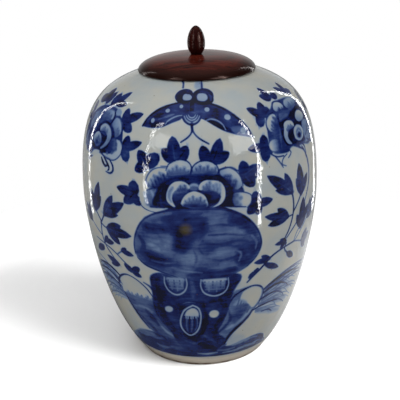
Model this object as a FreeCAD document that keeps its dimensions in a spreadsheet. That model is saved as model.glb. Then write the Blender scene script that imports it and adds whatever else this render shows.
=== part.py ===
import FreeCAD, Part
import os
import Sketcher
from FreeCAD import Vector

# A lidded porcelain jar: an ovoid jar on a low foot ring, with a turned hardwood cover that sits
# on the shoulder and over a low neck, and a turned bud glued into the cover as its finial.
# The origin is on the jar's axis at the plane that the foot rests on, +Z up, in millimetres.

SIZES = [
    # Jar, outside
    ("foot_radius", 66, "outside radius where the glazed wall leaves the foot"),
    ("foot_edge_height", 3, "height of the bare edge of the foot"),
    ("foot_edge_inset", 1.8, "how far the bare edge is drawn in where it rests"),
    ("foot_ring_width", 8, "width of the ring that the jar rests on"),
    ("foot_recess_depth", 5, "depth of the hollow under the base"),
    ("belly_radius", 112, "largest outside radius"),
    ("belly_height", 165, "height of the largest radius"),
    ("seat_radius", 51.5, "outside radius of the shoulder where the cover sits"),
    ("seat_height", 275.4, "height of the shoulder where the cover sits"),
    ("neck_radius", 36, "outside radius of the low neck under the cover"),
    ("neck_height", 3, "height of the neck above the shoulder beside it"),
    ("neck_lip_radius", 1.2, "rounding of the neck's two upper edges"),
    # Jar, inside
    ("wall", 6, "wall of the belly and the shoulder"),
    ("heel_wall", 9, "wall beside the floor, measured level"),
    ("neck_wall", 5, "wall of the neck"),
    ("floor_thickness", 8, "thickness of the floor above the hollow base"),
    ("floor_corner_radius", 12, "rounding inside between floor and wall"),
    # Jar, how the outline swells between those sizes
    ("flank_radius_share", 0.65, "lower pull point, share of the way from foot to belly radius"),
    ("flank_height_share", 0.23, "lower pull point, share of the way from foot to belly height"),
    ("belly_below_share", 0.25, "fullness below the belly, share of the height below it"),
    ("belly_above_share", 0.755, "fullness above the belly, share of the height up to the seat"),
    ("shoulder_radius_share", 0.645, "upper pull point, share of the way from seat to belly radius"),
    ("shoulder_slope_share", 0.323, "rise of the shoulder beside the neck, share of the run inwards"),
    # Cover
    ("crown_thickness", 5.3, "wood between the top of the dome and the recess under it"),
    ("rim_overhang", 0.7, "how far the rim's lowest point lies outside the seat"),
    ("rim_undercut", 1.9, "how far the rim swells out above its lowest point"),
    ("rim_widest_height", 0.7, "height of the largest radius above the rim's lowest point"),
    ("rim_fullness_share", 0.28, "fullness of the rim's shoulder, share of the height left above it"),
    ("rim_below_share", 0.5, "roundness under the rim, share of the widest height and of the undercut"),
    ("dome_fullness_share", 0.88, "flatness of the dome, share of the cover's radius"),
    ("seat_gap", 0.3, "gap between the cover's rim and the shoulder"),
    ("neck_clearance", 0.8, "play of the cover's recess round the neck"),
    ("crown_clearance", 0.6, "gap between the top of the neck and the recess"),
    # Finial
    ("finial_height", 25.7, "height of the bud above the cover"),
    ("finial_radius", 8.1, "largest radius of the bud"),
    ("finial_widest_height", 10.3, "height of the largest radius above the cover"),
    ("finial_foot_radius", 4.6, "radius of the bud where it stands on the cover"),
    ("finial_seat_margin", 0.5, "flat left on the cover around the bud"),
    ("finial_waist_share", 0.88, "lower pull point of the bud, share of its largest radius"),
    ("finial_waist_height_share", 0.32, "lower pull point, share of the widest height"),
    ("finial_below_share", 0.56, "fullness below the widest height, share of that height"),
    ("finial_above_share", 0.42, "fullness above the widest height, share of the height left"),
    ("finial_tip_share", 0.6, "pull point beside the tip, share of the largest radius"),
    ("finial_tip_drop", 0.6, "how far that pull point lies below the tip"),
    ("tenon_radius", 3, "radius of the finial's tenon"),
    ("tenon_chamfer", 0.5, "chamfer at the tenon's end"),
    ("tenon_end_gap", 0.4, "how far the tenon stops short of the recess"),
    ("glue_gap", 0.05, "gap all round the tenon for the glue"),
]

SAME_PLACE = 1e-4

doc = FreeCAD.newDocument("LiddedJar")
sheet = doc.addObject("Spreadsheet::Sheet", "Sizes")
for row, (alias, amount, meaning) in enumerate(SIZES, 1):
    sheet.set(f"A{row}", meaning)
    sheet.set(f"B{row}", str(amount))
    sheet.setAlias(f"B{row}", alias)
doc.recompute()


def size(name):
    """Expression that reads one named size from the sheet."""
    return f"Sizes.{name}"


def between(low, high, share):
    """Expression for a place that lies a named share of the way from one place to another."""
    return f"({low} + {share} * ({high} - {low}))"


def number(expression):
    """What an expression gives with the sheet as it is."""
    return float(sheet.evalExpression(expression))


class Section:
    """A half section in a body's XZ plane, drawn point by point, every point tied to the sheet."""

    def __init__(self, body, name):
        self.body = body
        self.sketch = body.newObject("Sketcher::SketchObject", name)
        plane = next(f for f in body.Origin.OriginFeatures if f.Role == "XZ_Plane")
        self.sketch.AttachmentSupport = [(plane, "")]
        self.sketch.MapMode = "FlatFace"
        self.first_geometry = None
        self.last_geometry = None

    def tie(self, geometry, end, place):
        """Hold one point at a radius and height, each zero or an expression over the sheet."""
        axes = (("DistanceX", -2), ("DistanceY", -1))
        for (kind, axis), expression in zip(axes, place):
            if expression == 0:
                self.sketch.addConstraint(Sketcher.Constraint("PointOnObject", geometry, end, axis))
                continue
            rule = Sketcher.Constraint(kind, -1, 1, geometry, end, number(expression))
            made = self.sketch.addConstraint(rule)
            self.sketch.setExpression(f"Constraints[{made}]", expression)

    def point(self, place):
        """The sketch point that a pair of expressions gives."""
        radius, height = (0 if e == 0 else number(e) for e in place)
        return Vector(radius, height, 0)

    def start(self, *place):
        self.start_place = place
        self.here = place

    def join(self, geometry):
        """Fasten the start of new geometry to the end of the last one."""
        if self.last_geometry is None:
            self.first_geometry = geometry
            self.tie(geometry, 1, self.start_place)
        else:
            self.sketch.addConstraint(
                Sketcher.Constraint("Coincident", self.last_geometry, 2, geometry, 1))
        self.last_geometry = geometry

    def line(self, *place):
        """A straight line from here to a place."""
        segment = Part.LineSegment(self.point(self.here), self.point(place))
        made = self.sketch.addGeometry(segment, False)
        self.join(made)
        self.tie(made, 2, place)
        self.here = place

    def curve(self, *places):
        """A cubic curve from here, by two pull points, to a place."""
        poles = [self.point(p) for p in (self.here, *places)]
        circles = [self.sketch.addGeometry(Part.Circle(p, Vector(0, 0, 1), 1.0), True) for p in poles]
        spline = Part.BSplineCurve()
        spline.buildFromPolesMultsKnots(poles, [4, 4], [0.0, 1.0], False, 3)
        made = self.sketch.addGeometry(spline, False)
        for order, circle in enumerate(circles):
            self.sketch.addConstraint(Sketcher.Constraint("Weight", circle, 1.0))
            self.sketch.addConstraint(Sketcher.Constraint(
                "InternalAlignment:Sketcher::BSplineControlPoint", circle, 3, made, order))
        self.join(made)
        for circle, place in zip(circles[1:], places):
            self.tie(circle, 3, place)
        self.here = places[-1]

    def close(self):
        """A straight line from here back to the start."""
        segment = Part.LineSegment(self.point(self.here), self.point(self.start_place))
        made = self.sketch.addGeometry(segment, False)
        self.join(made)
        self.sketch.addConstraint(
            Sketcher.Constraint("Coincident", made, 2, self.first_geometry, 1))

    def turn(self):
        """Turn the section once about the piece's own axis."""
        revolution = self.body.newObject("PartDesign::Revolution", f"{self.sketch.Name}Turned")
        revolution.Profile = self.sketch
        revolution.ReferenceAxis = (self.sketch, ["V_Axis"])
        revolution.Angle = 360
        doc.recompute()
        return revolution


def ring_edge(feature, radius, height):
    """Name of a turned piece's round edge that lies at this radius and height."""
    for order, edge in enumerate(feature.Shape.Edges, 1):
        if not isinstance(edge.Curve, Part.Circle):
            continue
        right_radius = abs(edge.Curve.Radius - number(radius)) < SAME_PLACE
        right_height = abs(edge.Curve.Center.z - number(height)) < SAME_PLACE
        if right_radius and right_height:
            return f"Edge{order}"
    raise RuntimeError(f"{feature.Name} has no round edge at {radius}, {height}")


def dress(kind, setting, base, edges, amount):
    """Add a fillet or chamfer of a named amount to some round edges of a body."""
    feature = base.getParentGeoFeatureGroup().newObject(kind, f"{base.Name}{setting}")
    feature.Base = (base, [ring_edge(base, *edge) for edge in edges])
    feature.setExpression(setting, amount)
    doc.recompute()
    return feature


def new_body(label, height):
    """An empty body whose own origin stands at a height on the jar's axis."""
    body = doc.addObject("PartDesign::Body", label)
    body.Label = label
    if height != 0:
        body.setExpression("Placement.Base.z", height)
    return body


# Places that more than one piece needs
SHOULDER_PULL_RADIUS = between(size("seat_radius"), size("belly_radius"), size("shoulder_radius_share"))
SHOULDER_SLOPE = size("shoulder_slope_share")
SHOULDER_PULL_HEIGHT = (f"({size('seat_height')}"
                        f" - ({SHOULDER_PULL_RADIUS} - {size('seat_radius')}) * {SHOULDER_SLOPE})")
NECK_BASE = (f"({size('seat_height')}"
             f" + ({size('seat_radius')} - {size('neck_radius')}) * {SHOULDER_SLOPE})")
NECK_TOP = f"({NECK_BASE} + {size('neck_height')})"
RIM_RADIUS = f"({size('seat_radius')} + {size('rim_overhang')})"
LID_RADIUS = f"({RIM_RADIUS} + {size('rim_undercut')})"
LID_BASE = (f"({size('seat_height')} + {size('seat_gap')}"
            f" - {size('rim_overhang')} * {SHOULDER_SLOPE})")
RECESS_CEILING = f"({NECK_TOP} + {size('crown_clearance')} - {LID_BASE})"
LID_HEIGHT = f"({RECESS_CEILING} + {size('crown_thickness')})"
TENON_LENGTH = f"({size('crown_thickness')} - {size('tenon_end_gap')})"


def make_jar_body():
    """The porcelain jar, one fired piece: foot ring, wall, shoulder, neck and floor."""
    rest_radius = f"({size('foot_radius')} - {size('foot_edge_inset')})"
    ring_inside = f"({rest_radius} - {size('foot_ring_width')})"
    flank_radius = between(size("foot_radius"), size("belly_radius"), size("flank_radius_share"))
    flank_height = between(size("foot_edge_height"), size("belly_height"), size("flank_height_share"))
    below_belly = (f"({size('belly_height')} - {size('belly_below_share')}"
                   f" * ({size('belly_height')} - {size('foot_edge_height')}))")
    above_belly = between(size("belly_height"), size("seat_height"), size("belly_above_share"))
    mouth_radius = f"({size('neck_radius')} - {size('neck_wall')})"
    under_mouth = f"({NECK_BASE} + {size('neck_wall')} * {SHOULDER_SLOPE} - {size('wall')})"
    inner_belly = f"({size('belly_radius')} - {size('wall')})"
    floor_height = f"({size('foot_recess_depth')} + {size('floor_thickness')})"
    flank_slope = (f"(({flank_radius} - {size('foot_radius')})"
                   f" / ({flank_height} - {size('foot_edge_height')}))")
    floor_radius = (f"({size('foot_radius')} - {size('heel_wall')}"
                    f" + ({floor_height} - {size('foot_edge_height')}) * {flank_slope})")

    section = Section(new_body("jar_body", 0), "JarSection")
    section.start(0, size("foot_recess_depth"))
    section.line(ring_inside, size("foot_recess_depth"))
    section.line(ring_inside, 0)
    section.line(rest_radius, 0)
    section.line(size("foot_radius"), size("foot_edge_height"))
    section.curve((flank_radius, flank_height), (size("belly_radius"), below_belly),
                  (size("belly_radius"), size("belly_height")))
    section.curve((size("belly_radius"), above_belly), (SHOULDER_PULL_RADIUS, SHOULDER_PULL_HEIGHT),
                  (size("seat_radius"), size("seat_height")))
    section.line(size("neck_radius"), NECK_BASE)
    section.line(size("neck_radius"), NECK_TOP)
    section.line(mouth_radius, NECK_TOP)
    section.line(mouth_radius, under_mouth)
    section.curve((SHOULDER_PULL_RADIUS, f"({SHOULDER_PULL_HEIGHT} - {size('wall')})"),
                  (inner_belly, above_belly), (inner_belly, size("belly_height")))
    section.curve((inner_belly, below_belly), (f"({flank_radius} - {size('wall')})", flank_height),
                  (floor_radius, floor_height))
    section.line(0, floor_height)
    section.close()
    turned = section.turn()
    rounded = dress("PartDesign::Fillet", "Radius", turned,
                    [(floor_radius, floor_height)], size("floor_corner_radius"))
    dress("PartDesign::Fillet", "Radius", rounded,
          [(size("neck_radius"), NECK_TOP), (mouth_radius, NECK_TOP)], size("neck_lip_radius"))
    return section.body


def make_lid():
    """The turned cover: a low dome, dished underneath to the shoulder's slope and the neck."""
    hole_radius = f"({size('tenon_radius')} + {size('glue_gap')})"
    flat_radius = f"({size('finial_foot_radius')} + {size('finial_seat_margin')})"
    rim_shoulder = between(size("rim_widest_height"), LID_HEIGHT, size("rim_fullness_share"))
    below_rim = f"({size('rim_widest_height')} * (1 - {size('rim_below_share')}))"
    under_rim = f"({RIM_RADIUS} + {size('rim_undercut')} * {size('rim_below_share')})"
    dome_pull = f"({LID_RADIUS} * {size('dome_fullness_share')})"
    recess_radius = f"({size('neck_radius')} + {size('neck_clearance')})"
    dish_height = f"(({RIM_RADIUS} - {recess_radius}) * {SHOULDER_SLOPE})"

    section = Section(new_body("lid", LID_BASE), "LidSection")
    section.start(hole_radius, LID_HEIGHT)
    section.line(flat_radius, LID_HEIGHT)
    section.curve((dome_pull, LID_HEIGHT), (LID_RADIUS, rim_shoulder),
                  (LID_RADIUS, size("rim_widest_height")))
    section.curve((LID_RADIUS, below_rim), (under_rim, 0), (RIM_RADIUS, 0))
    section.line(recess_radius, dish_height)
    section.line(recess_radius, RECESS_CEILING)
    section.line(hole_radius, RECESS_CEILING)
    section.close()
    section.turn()
    return section.body


def make_finial():
    """The turned bud, with the tenon that is glued into the cover."""
    base = f"({LID_BASE} + {LID_HEIGHT} - {TENON_LENGTH})"
    widest = f"({TENON_LENGTH} + {size('finial_widest_height')})"
    tip = f"({TENON_LENGTH} + {size('finial_height')})"
    waist_radius = f"({size('finial_radius')} * {size('finial_waist_share')})"
    waist_height = between(TENON_LENGTH, widest, size("finial_waist_height_share"))
    below = f"({widest} - {size('finial_below_share')} * {size('finial_widest_height')})"
    above = between(widest, tip, size("finial_above_share"))
    tip_pull = f"({size('finial_radius')} * {size('finial_tip_share')})"

    section = Section(new_body("finial", base), "FinialSection")
    section.start(0, 0)
    section.line(size("tenon_radius"), 0)
    section.line(size("tenon_radius"), TENON_LENGTH)
    section.line(size("finial_foot_radius"), TENON_LENGTH)
    section.curve((waist_radius, waist_height), (size("finial_radius"), below),
                  (size("finial_radius"), widest))
    section.curve((size("finial_radius"), above), (tip_pull, f"({tip} - {size('finial_tip_drop')})"),
                  (0, tip))
    section.close()
    turned = section.turn()
    dress("PartDesign::Chamfer", "Size", turned, [(size("tenon_radius"), "0")], size("tenon_chamfer"))
    return section.body


pieces = [make_jar_body(), make_lid(), make_finial()]
doc.recompute()

for item in doc.Objects:
    if "Invalid" in item.State or "Error" in item.State:
        raise RuntimeError(f"{item.Name} did not recompute: {item.State}")
for piece in pieces:
    if piece.Shape.isNull() or not piece.Shape.isValid() or len(piece.Shape.Solids) != 1:
        raise RuntimeError(f"{piece.Label} is not one sound solid")

os.makedirs("parts", exist_ok=True)
for piece in pieces:
    piece.Shape.exportStep(f"parts/{piece.Label}.step")
    print(piece.Label, round(piece.Shape.Volume), piece.Shape.BoundBox)
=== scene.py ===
import math

import bpy
import numpy as np
from mathutils import Matrix, Vector
from mathutils.geometry import delaunay_2d_cdt
from mathutils.kdtree import KDTree


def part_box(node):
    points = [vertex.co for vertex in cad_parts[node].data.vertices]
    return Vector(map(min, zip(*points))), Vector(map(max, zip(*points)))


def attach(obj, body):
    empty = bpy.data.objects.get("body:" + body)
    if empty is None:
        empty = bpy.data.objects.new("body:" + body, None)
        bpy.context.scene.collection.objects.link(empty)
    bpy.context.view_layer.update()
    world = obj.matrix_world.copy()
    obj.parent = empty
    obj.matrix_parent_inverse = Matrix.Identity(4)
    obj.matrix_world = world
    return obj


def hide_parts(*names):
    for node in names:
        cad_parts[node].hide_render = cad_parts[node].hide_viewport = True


bl_info = {
    "name": "Painted Lidded Jar",
    "version": (1, 0, 0),
    "blender": (4, 5, 0),
    "location": "3D View > Sidebar > Jar",
    "description": "A porcelain jar painted in cobalt under the glaze, with a turned hardwood cover",
    "category": "Object",
}

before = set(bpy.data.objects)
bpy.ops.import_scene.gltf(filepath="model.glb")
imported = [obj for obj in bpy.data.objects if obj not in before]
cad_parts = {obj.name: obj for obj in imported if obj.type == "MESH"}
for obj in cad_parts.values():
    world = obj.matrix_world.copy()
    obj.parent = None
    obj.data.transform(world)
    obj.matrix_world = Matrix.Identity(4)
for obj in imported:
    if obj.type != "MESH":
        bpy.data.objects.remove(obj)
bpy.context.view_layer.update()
JAR_LOW, JAR_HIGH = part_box("jar_body")

MM = 0.001

# The smallest reach of the CAD jar's box from its axis, so that the round jar stays inside the box
CAD_REACH = min(JAR_HIGH.x, -JAR_LOW.x, JAR_HIGH.y, -JAR_LOW.y)

# How dark a touch of cobalt fires, from the bare glaze at 0 to the heaped pigment at 1
HAZE, THIN, WASH, MID, FULL, DEEP, INK = 0.1, 0.32, 0.45, 0.6, 0.75, 0.88, 1.0


def linear(hex_colour):
    """A colour written as sRGB hex, turned to the linear values that shaders use."""
    shares = [int(hex_colour[start:start + 2], 16) / 255 for start in (1, 3, 5)]
    return tuple(s / 12.92 if s <= 0.04045 else ((s + 0.055) / 1.055) ** 2.4 for s in shares)


def length(name, default, description):
    """A size that a user would change, in metres."""
    return bpy.props.FloatProperty(name=name, description=description, default=default,
                                   min=0, unit="LENGTH", precision=4)


def share(name, default, description):
    """A share that a user would change, without a unit."""
    return bpy.props.FloatProperty(name=name, description=description, default=default,
                                   min=0, subtype="FACTOR")


def colour(name, hex_colour, description):
    """A colour that a user would change."""
    return bpy.props.FloatVectorProperty(name=name, description=description, subtype="COLOR",
                                         default=linear(hex_colour), min=0, max=1)


# Sizes and colours

class JarSizes(bpy.types.PropertyGroup):
    foot_radius: length("Foot radius", 0.066, "Outside radius where the glazed wall leaves the foot")
    foot_edge: length("Foot edge", 0.003, "Height of the bare edge of the foot")
    foot_inset: length("Foot inset", 0.0018, "How far the bare edge is drawn in where it rests")
    foot_ring: length("Foot ring", 0.008, "Width of the ring that the jar rests on")
    foot_hollow: length("Foot hollow", 0.005, "Depth of the hollow under the base")
    belly_radius: length("Belly radius", CAD_REACH, "Largest outside radius")
    belly_height: length("Belly height", 0.165, "Height of the largest radius")
    seat_radius: length("Seat radius", 0.0515, "Outside radius of the shoulder where the cover sits")
    seat_height: length("Seat height", 0.2754, "Height of the shoulder where the cover sits")
    neck_radius: length("Neck radius", 0.036, "Outside radius of the low neck")
    neck_lip: length("Neck lip", 0.0012, "Rounding of the neck's upper edges")
    top_height: length("Top height", JAR_HIGH.z, "Height of the neck's rim")
    wall: length("Wall", 0.006, "Thickness of the belly and the shoulder")
    heel_wall: length("Heel wall", 0.009, "Thickness of the wall beside the floor")
    neck_wall: length("Neck wall", 0.005, "Thickness of the neck")
    floor: length("Floor", 0.008, "Thickness of the floor above the hollow base")
    floor_corner: length("Floor corner", 0.012, "Rounding inside between floor and wall")
    flank_radius: share("Flank radius", 0.65, "Lower pull point, from foot to belly radius")
    flank_height: share("Flank height", 0.23, "Lower pull point, from foot edge to belly height")
    belly_below: share("Belly below", 0.25, "Fullness below the belly")
    belly_above: share("Belly above", 0.755, "Fullness above the belly")
    shoulder_radius: share("Shoulder radius", 0.645, "Upper pull point, from seat to belly radius")
    shoulder_slope: share("Shoulder slope", 0.323, "Rise of the shoulder beside the neck")
    column_angle: bpy.props.FloatProperty(name="Column angle", default=math.radians(2), subtype="ANGLE",
                                          unit="ROTATION",
                                          description="Turn from one column of faces to the next")
    grid: length("Grid", 0.0031, "Spacing of the mesh where nothing is painted")
    bud_foot: length("Bud foot", 0.0046, "Radius of the bud where it meets the cover")
    bud_widest: share("Bud widest", 0.4, "Where the bud is widest, from its foot to its tip")


class JarColours(bpy.types.PropertyGroup):
    glaze: colour("Glaze", "#9C9B92", "Clear glaze over the greyish body")
    glaze_cool: colour("Glaze, cool", "#8F9698", "Glaze where it lies thicker")
    thin_glaze: colour("Glaze, thin", "#C2B6A6", "Warm glaze beside the foot")
    haze: colour("Haze", "#838F9B", "Cobalt that bled into the glaze beside a stroke")
    pale_wash: colour("Pale wash", "#5E7290", "Cobalt in a thin wash")
    wash: colour("Wash", "#405278", "Cobalt in a full wash")
    line: colour("Line", "#192A5C", "Cobalt in a full line")
    heaped: colour("Heaped cobalt", "#091344", "Cobalt where the brush left most")
    burnt: colour("Burnt cobalt", "#070A20", "Heaped cobalt that fired nearly black")
    stain: colour("Stain", "#4C4420", "Yellow-brown stain in the glaze")
    speck: colour("Speck", "#4A3424", "Iron speck in the body")
    biscuit: colour("Biscuit", "#8C8172", "Unglazed porcelain at the foot")
    biscuit_dark: colour("Biscuit, burnt", "#5C4632", "Line where the glaze ends and the foot burnt brown")


class WoodColours(bpy.types.PropertyGroup):
    heart: colour("Heartwood", "#4B170F", "Red-brown of the stained wood")
    # The pore colour is also laid over the cover's rim as painted shade
    pore: colour("Pores", "#180705", "Dark pores and late wood")
    warm: colour("Warm figure", "#541E13", "Lighter figure between the pores")
    bud: colour("Bud", "#1E0303", "Deep red of the bud, stained more than the cover")


class StageSizes(bpy.types.PropertyGroup):
    camera_side: bpy.props.FloatProperty(name="Camera side", default=-0.00045, unit="LENGTH",
                                         description="Camera's place across, from the jar's axis")
    camera_distance: length("Camera distance", 0.760, "Camera's distance in front of the jar's axis")
    camera_height: length("Camera height", 0.4325, "Camera's height above the floor")
    camera_pitch: bpy.props.FloatProperty(name="Camera pitch", default=math.radians(20.66),
                                          subtype="ANGLE", description="How far it looks down")
    camera_roll: bpy.props.FloatProperty(name="Camera roll", default=math.radians(1.59),
                                         subtype="ANGLE", description="How far the jar's top leans left")
    camera_lens: bpy.props.FloatProperty(name="Camera lens", default=74.79, unit="CAMERA",
                                         description="Focal length on a 36 mm sensor, in millimetres")
    floor_radius: length("Floor radius", 6, "Radius of the pale floor")


# The wall as the brush meets it

def cubic(points, count):
    """Points along a cubic curve given by its two ends and two pull points."""
    a, b, c, d = (np.array(p, float) for p in points)
    t = np.linspace(0, 1, count)[:, None]
    return a * (1 - t) ** 3 + 3 * b * t * (1 - t) ** 2 + 3 * c * t ** 2 * (1 - t) + d * t ** 3


class Wall:
    """The jar's outside, unrolled: degrees round from the front and millimetres up from the foot."""

    SAMPLES = 240

    def __init__(self, sizes):
        self.sizes = sizes
        run = sizes.belly_radius - sizes.foot_radius
        flank = (sizes.foot_radius + sizes.flank_radius * run,
                 sizes.foot_edge + sizes.flank_height * (sizes.belly_height - sizes.foot_edge))
        low_pull = sizes.belly_height - sizes.belly_below * (sizes.belly_height - sizes.foot_edge)
        high_pull = sizes.belly_height + sizes.belly_above * (sizes.seat_height - sizes.belly_height)
        shoulder_reach = sizes.shoulder_radius * (sizes.belly_radius - sizes.seat_radius)
        shoulder = (sizes.seat_radius + shoulder_reach,
                    sizes.seat_height - shoulder_reach * sizes.shoulder_slope)
        rest = (sizes.foot_radius - sizes.foot_inset, 0)
        edge = (sizes.foot_radius, sizes.foot_edge)
        belly = (sizes.belly_radius, sizes.belly_height)
        seat = (sizes.seat_radius, sizes.seat_height)
        self.neck = (sizes.neck_radius,
                     sizes.seat_height + (sizes.seat_radius - sizes.neck_radius) * sizes.shoulder_slope)
        self.flank_slope = (flank[0] - sizes.foot_radius) / (flank[1] - sizes.foot_edge)
        self.pulls = {"flank": flank, "low": low_pull, "high": high_pull, "shoulder": shoulder}
        lower = cubic((edge, flank, (sizes.belly_radius, low_pull), belly), self.SAMPLES)
        upper = cubic((belly, (sizes.belly_radius, high_pull), shoulder, seat), self.SAMPLES)
        self.outline = np.vstack([[rest], lower, upper[1:], [self.neck]])
        steps = np.hypot(*np.diff(self.outline, axis=0).T) / MM
        self.up = np.concatenate([[0], np.cumsum(steps)])
        self.glaze_start = self.up[1]
        self.glaze_end = self.up[-1]
        self.degree = math.radians(1) * sizes.belly_radius / MM

    def place(self, round_degrees, up):
        """Places in space of points on the wall."""
        radius = np.interp(up, self.up, self.outline[:, 0])
        height = np.interp(up, self.up, self.outline[:, 1])
        turn = np.radians(round_degrees)
        return np.stack([radius * np.sin(turn), -radius * np.cos(turn), height], -1)

    def normal(self, places):
        """Directions straight out of the wall at places on it."""
        glazed = self.outline[1:]
        lean = np.gradient(glazed, axis=0)
        lean[-1] = lean[-2]
        out = np.stack([lean[:, 1], -lean[:, 0]], -1)
        out /= np.hypot(*out.T)[:, None]
        across = np.interp(places[:, 2], glazed[:, 1], out[:, 0])
        rise = np.interp(places[:, 2], glazed[:, 1], out[:, 1])
        radius = np.maximum(np.hypot(places[:, 0], places[:, 1]), MM)
        return np.stack([across * places[:, 0] / radius, across * places[:, 1] / radius, rise], -1)


# Brushwork on the unrolled wall, where both ways are in millimetres

def even_line(points, step, closed=False):
    """A smooth line through given points, as evenly spaced points; a doubled point is a corner."""
    if closed:
        points = np.vstack([points[-1], points, points[0], points[1]])
    else:
        points = np.vstack([2 * points[0] - points[1], points, 2 * points[-1] - points[-2]])
    t = np.linspace(0, 1, 10, endpoint=False)[:, None]
    fine = [0.5 * (2 * b + (c - a) * t + (2 * a - 5 * b + 4 * c - d) * t ** 2
                   + (3 * b - a - 3 * c + d) * t ** 3)
            for a, b, c, d in zip(points, points[1:], points[2:], points[3:])]
    fine = np.vstack(fine + [points[-2:-1]])
    along = np.concatenate([[0], np.cumsum(np.hypot(*np.diff(fine, axis=0).T))])
    count = max(6 if closed else 3, math.ceil(along[-1] / step) + 1)
    places = np.linspace(0, along[-1], count)
    even = np.stack([np.interp(places, along, fine[:, 0]), np.interp(places, along, fine[:, 1])], -1)
    return even[:-1] if closed else even


def side_steps(line, closed=False):
    """Unit steps to the left of a line at each of its points."""
    if closed:
        ahead = np.roll(line, -1, 0) - np.roll(line, 1, 0)
    else:
        ahead = np.gradient(line, axis=0)
    ahead /= np.maximum(np.hypot(*ahead.T), 1e-9)[:, None]
    return np.stack([-ahead[:, 1], ahead[:, 0]], -1)


def distance_to(places, starts, ends):
    """Distance of each place from each stretch of a line, and how far along the stretch it is."""
    reach = ends - starts
    offset = places[:, None] - starts
    t = np.clip((offset * reach).sum(-1) / np.maximum((reach ** 2).sum(-1), 1e-12), 0, 1)
    return np.hypot(*(offset - t[..., None] * reach).transpose(2, 0, 1)), t


class Fill:
    """A wash inside an outline."""

    def __init__(self, outline, soft):
        self.outline = outline
        self.soft = soft

    def rows(self):
        """Closed lines where the wash begins and where it is full."""
        aside = side_steps(self.outline, closed=True) * self.soft / 2
        return [self.outline + aside, self.outline - aside]

    def margin(self, places):
        """How far inside the outline each place is, negative outside."""
        starts, ends = self.outline, np.roll(self.outline, -1, 0)
        distance = distance_to(places, starts, ends)[0].min(1)
        x, y = places[:, :1], places[:, 1:]
        spans = (starts[:, 1] > y) != (ends[:, 1] > y)
        rise = ends[:, 1] - starts[:, 1]
        rise = np.where(rise == 0, 1e-12, rise)
        crossing = starts[:, 0] + (y - starts[:, 1]) * (ends[:, 0] - starts[:, 0]) / rise
        inside = (spans & (x < crossing)).sum(1) % 2 == 1
        return np.where(inside, distance, -distance)


class Stroke:
    """A brush line that swells and thins."""

    def __init__(self, line, halves, soft):
        self.line = line
        self.halves = halves
        self.soft = soft

    def ring(self, offset):
        """A closed line round the stroke, so far outside its half width; it leans where the stroke swells."""
        reach = np.maximum(self.halves + offset, 0)[:, None]
        steps = np.hypot(*np.gradient(self.line, axis=0).T)
        swell = np.clip(np.gradient(self.halves) / np.maximum(steps, 1e-9), -0.9, 0.9)[:, None]
        side = side_steps(self.line)
        ahead = np.stack([side[:, 1], -side[:, 0]], -1)
        middle = self.line - ahead * reach * swell
        aside = side * reach * np.sqrt(1 - swell ** 2)
        start = self.line[0] - ahead[0] * reach[0]
        end = self.line[-1] + ahead[-1] * reach[-1]
        return np.vstack([[start], middle + aside, [end], (middle - aside)[::-1]])

    def rows(self):
        return [self.ring(self.soft / 2), self.ring(-self.soft / 2)]

    def margin(self, places):
        distance, t = distance_to(places, self.line[:-1], self.line[1:])
        halves = self.halves[:-1] + t * (self.halves[1:] - self.halves[:-1])
        return (halves - distance).max(1)


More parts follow.
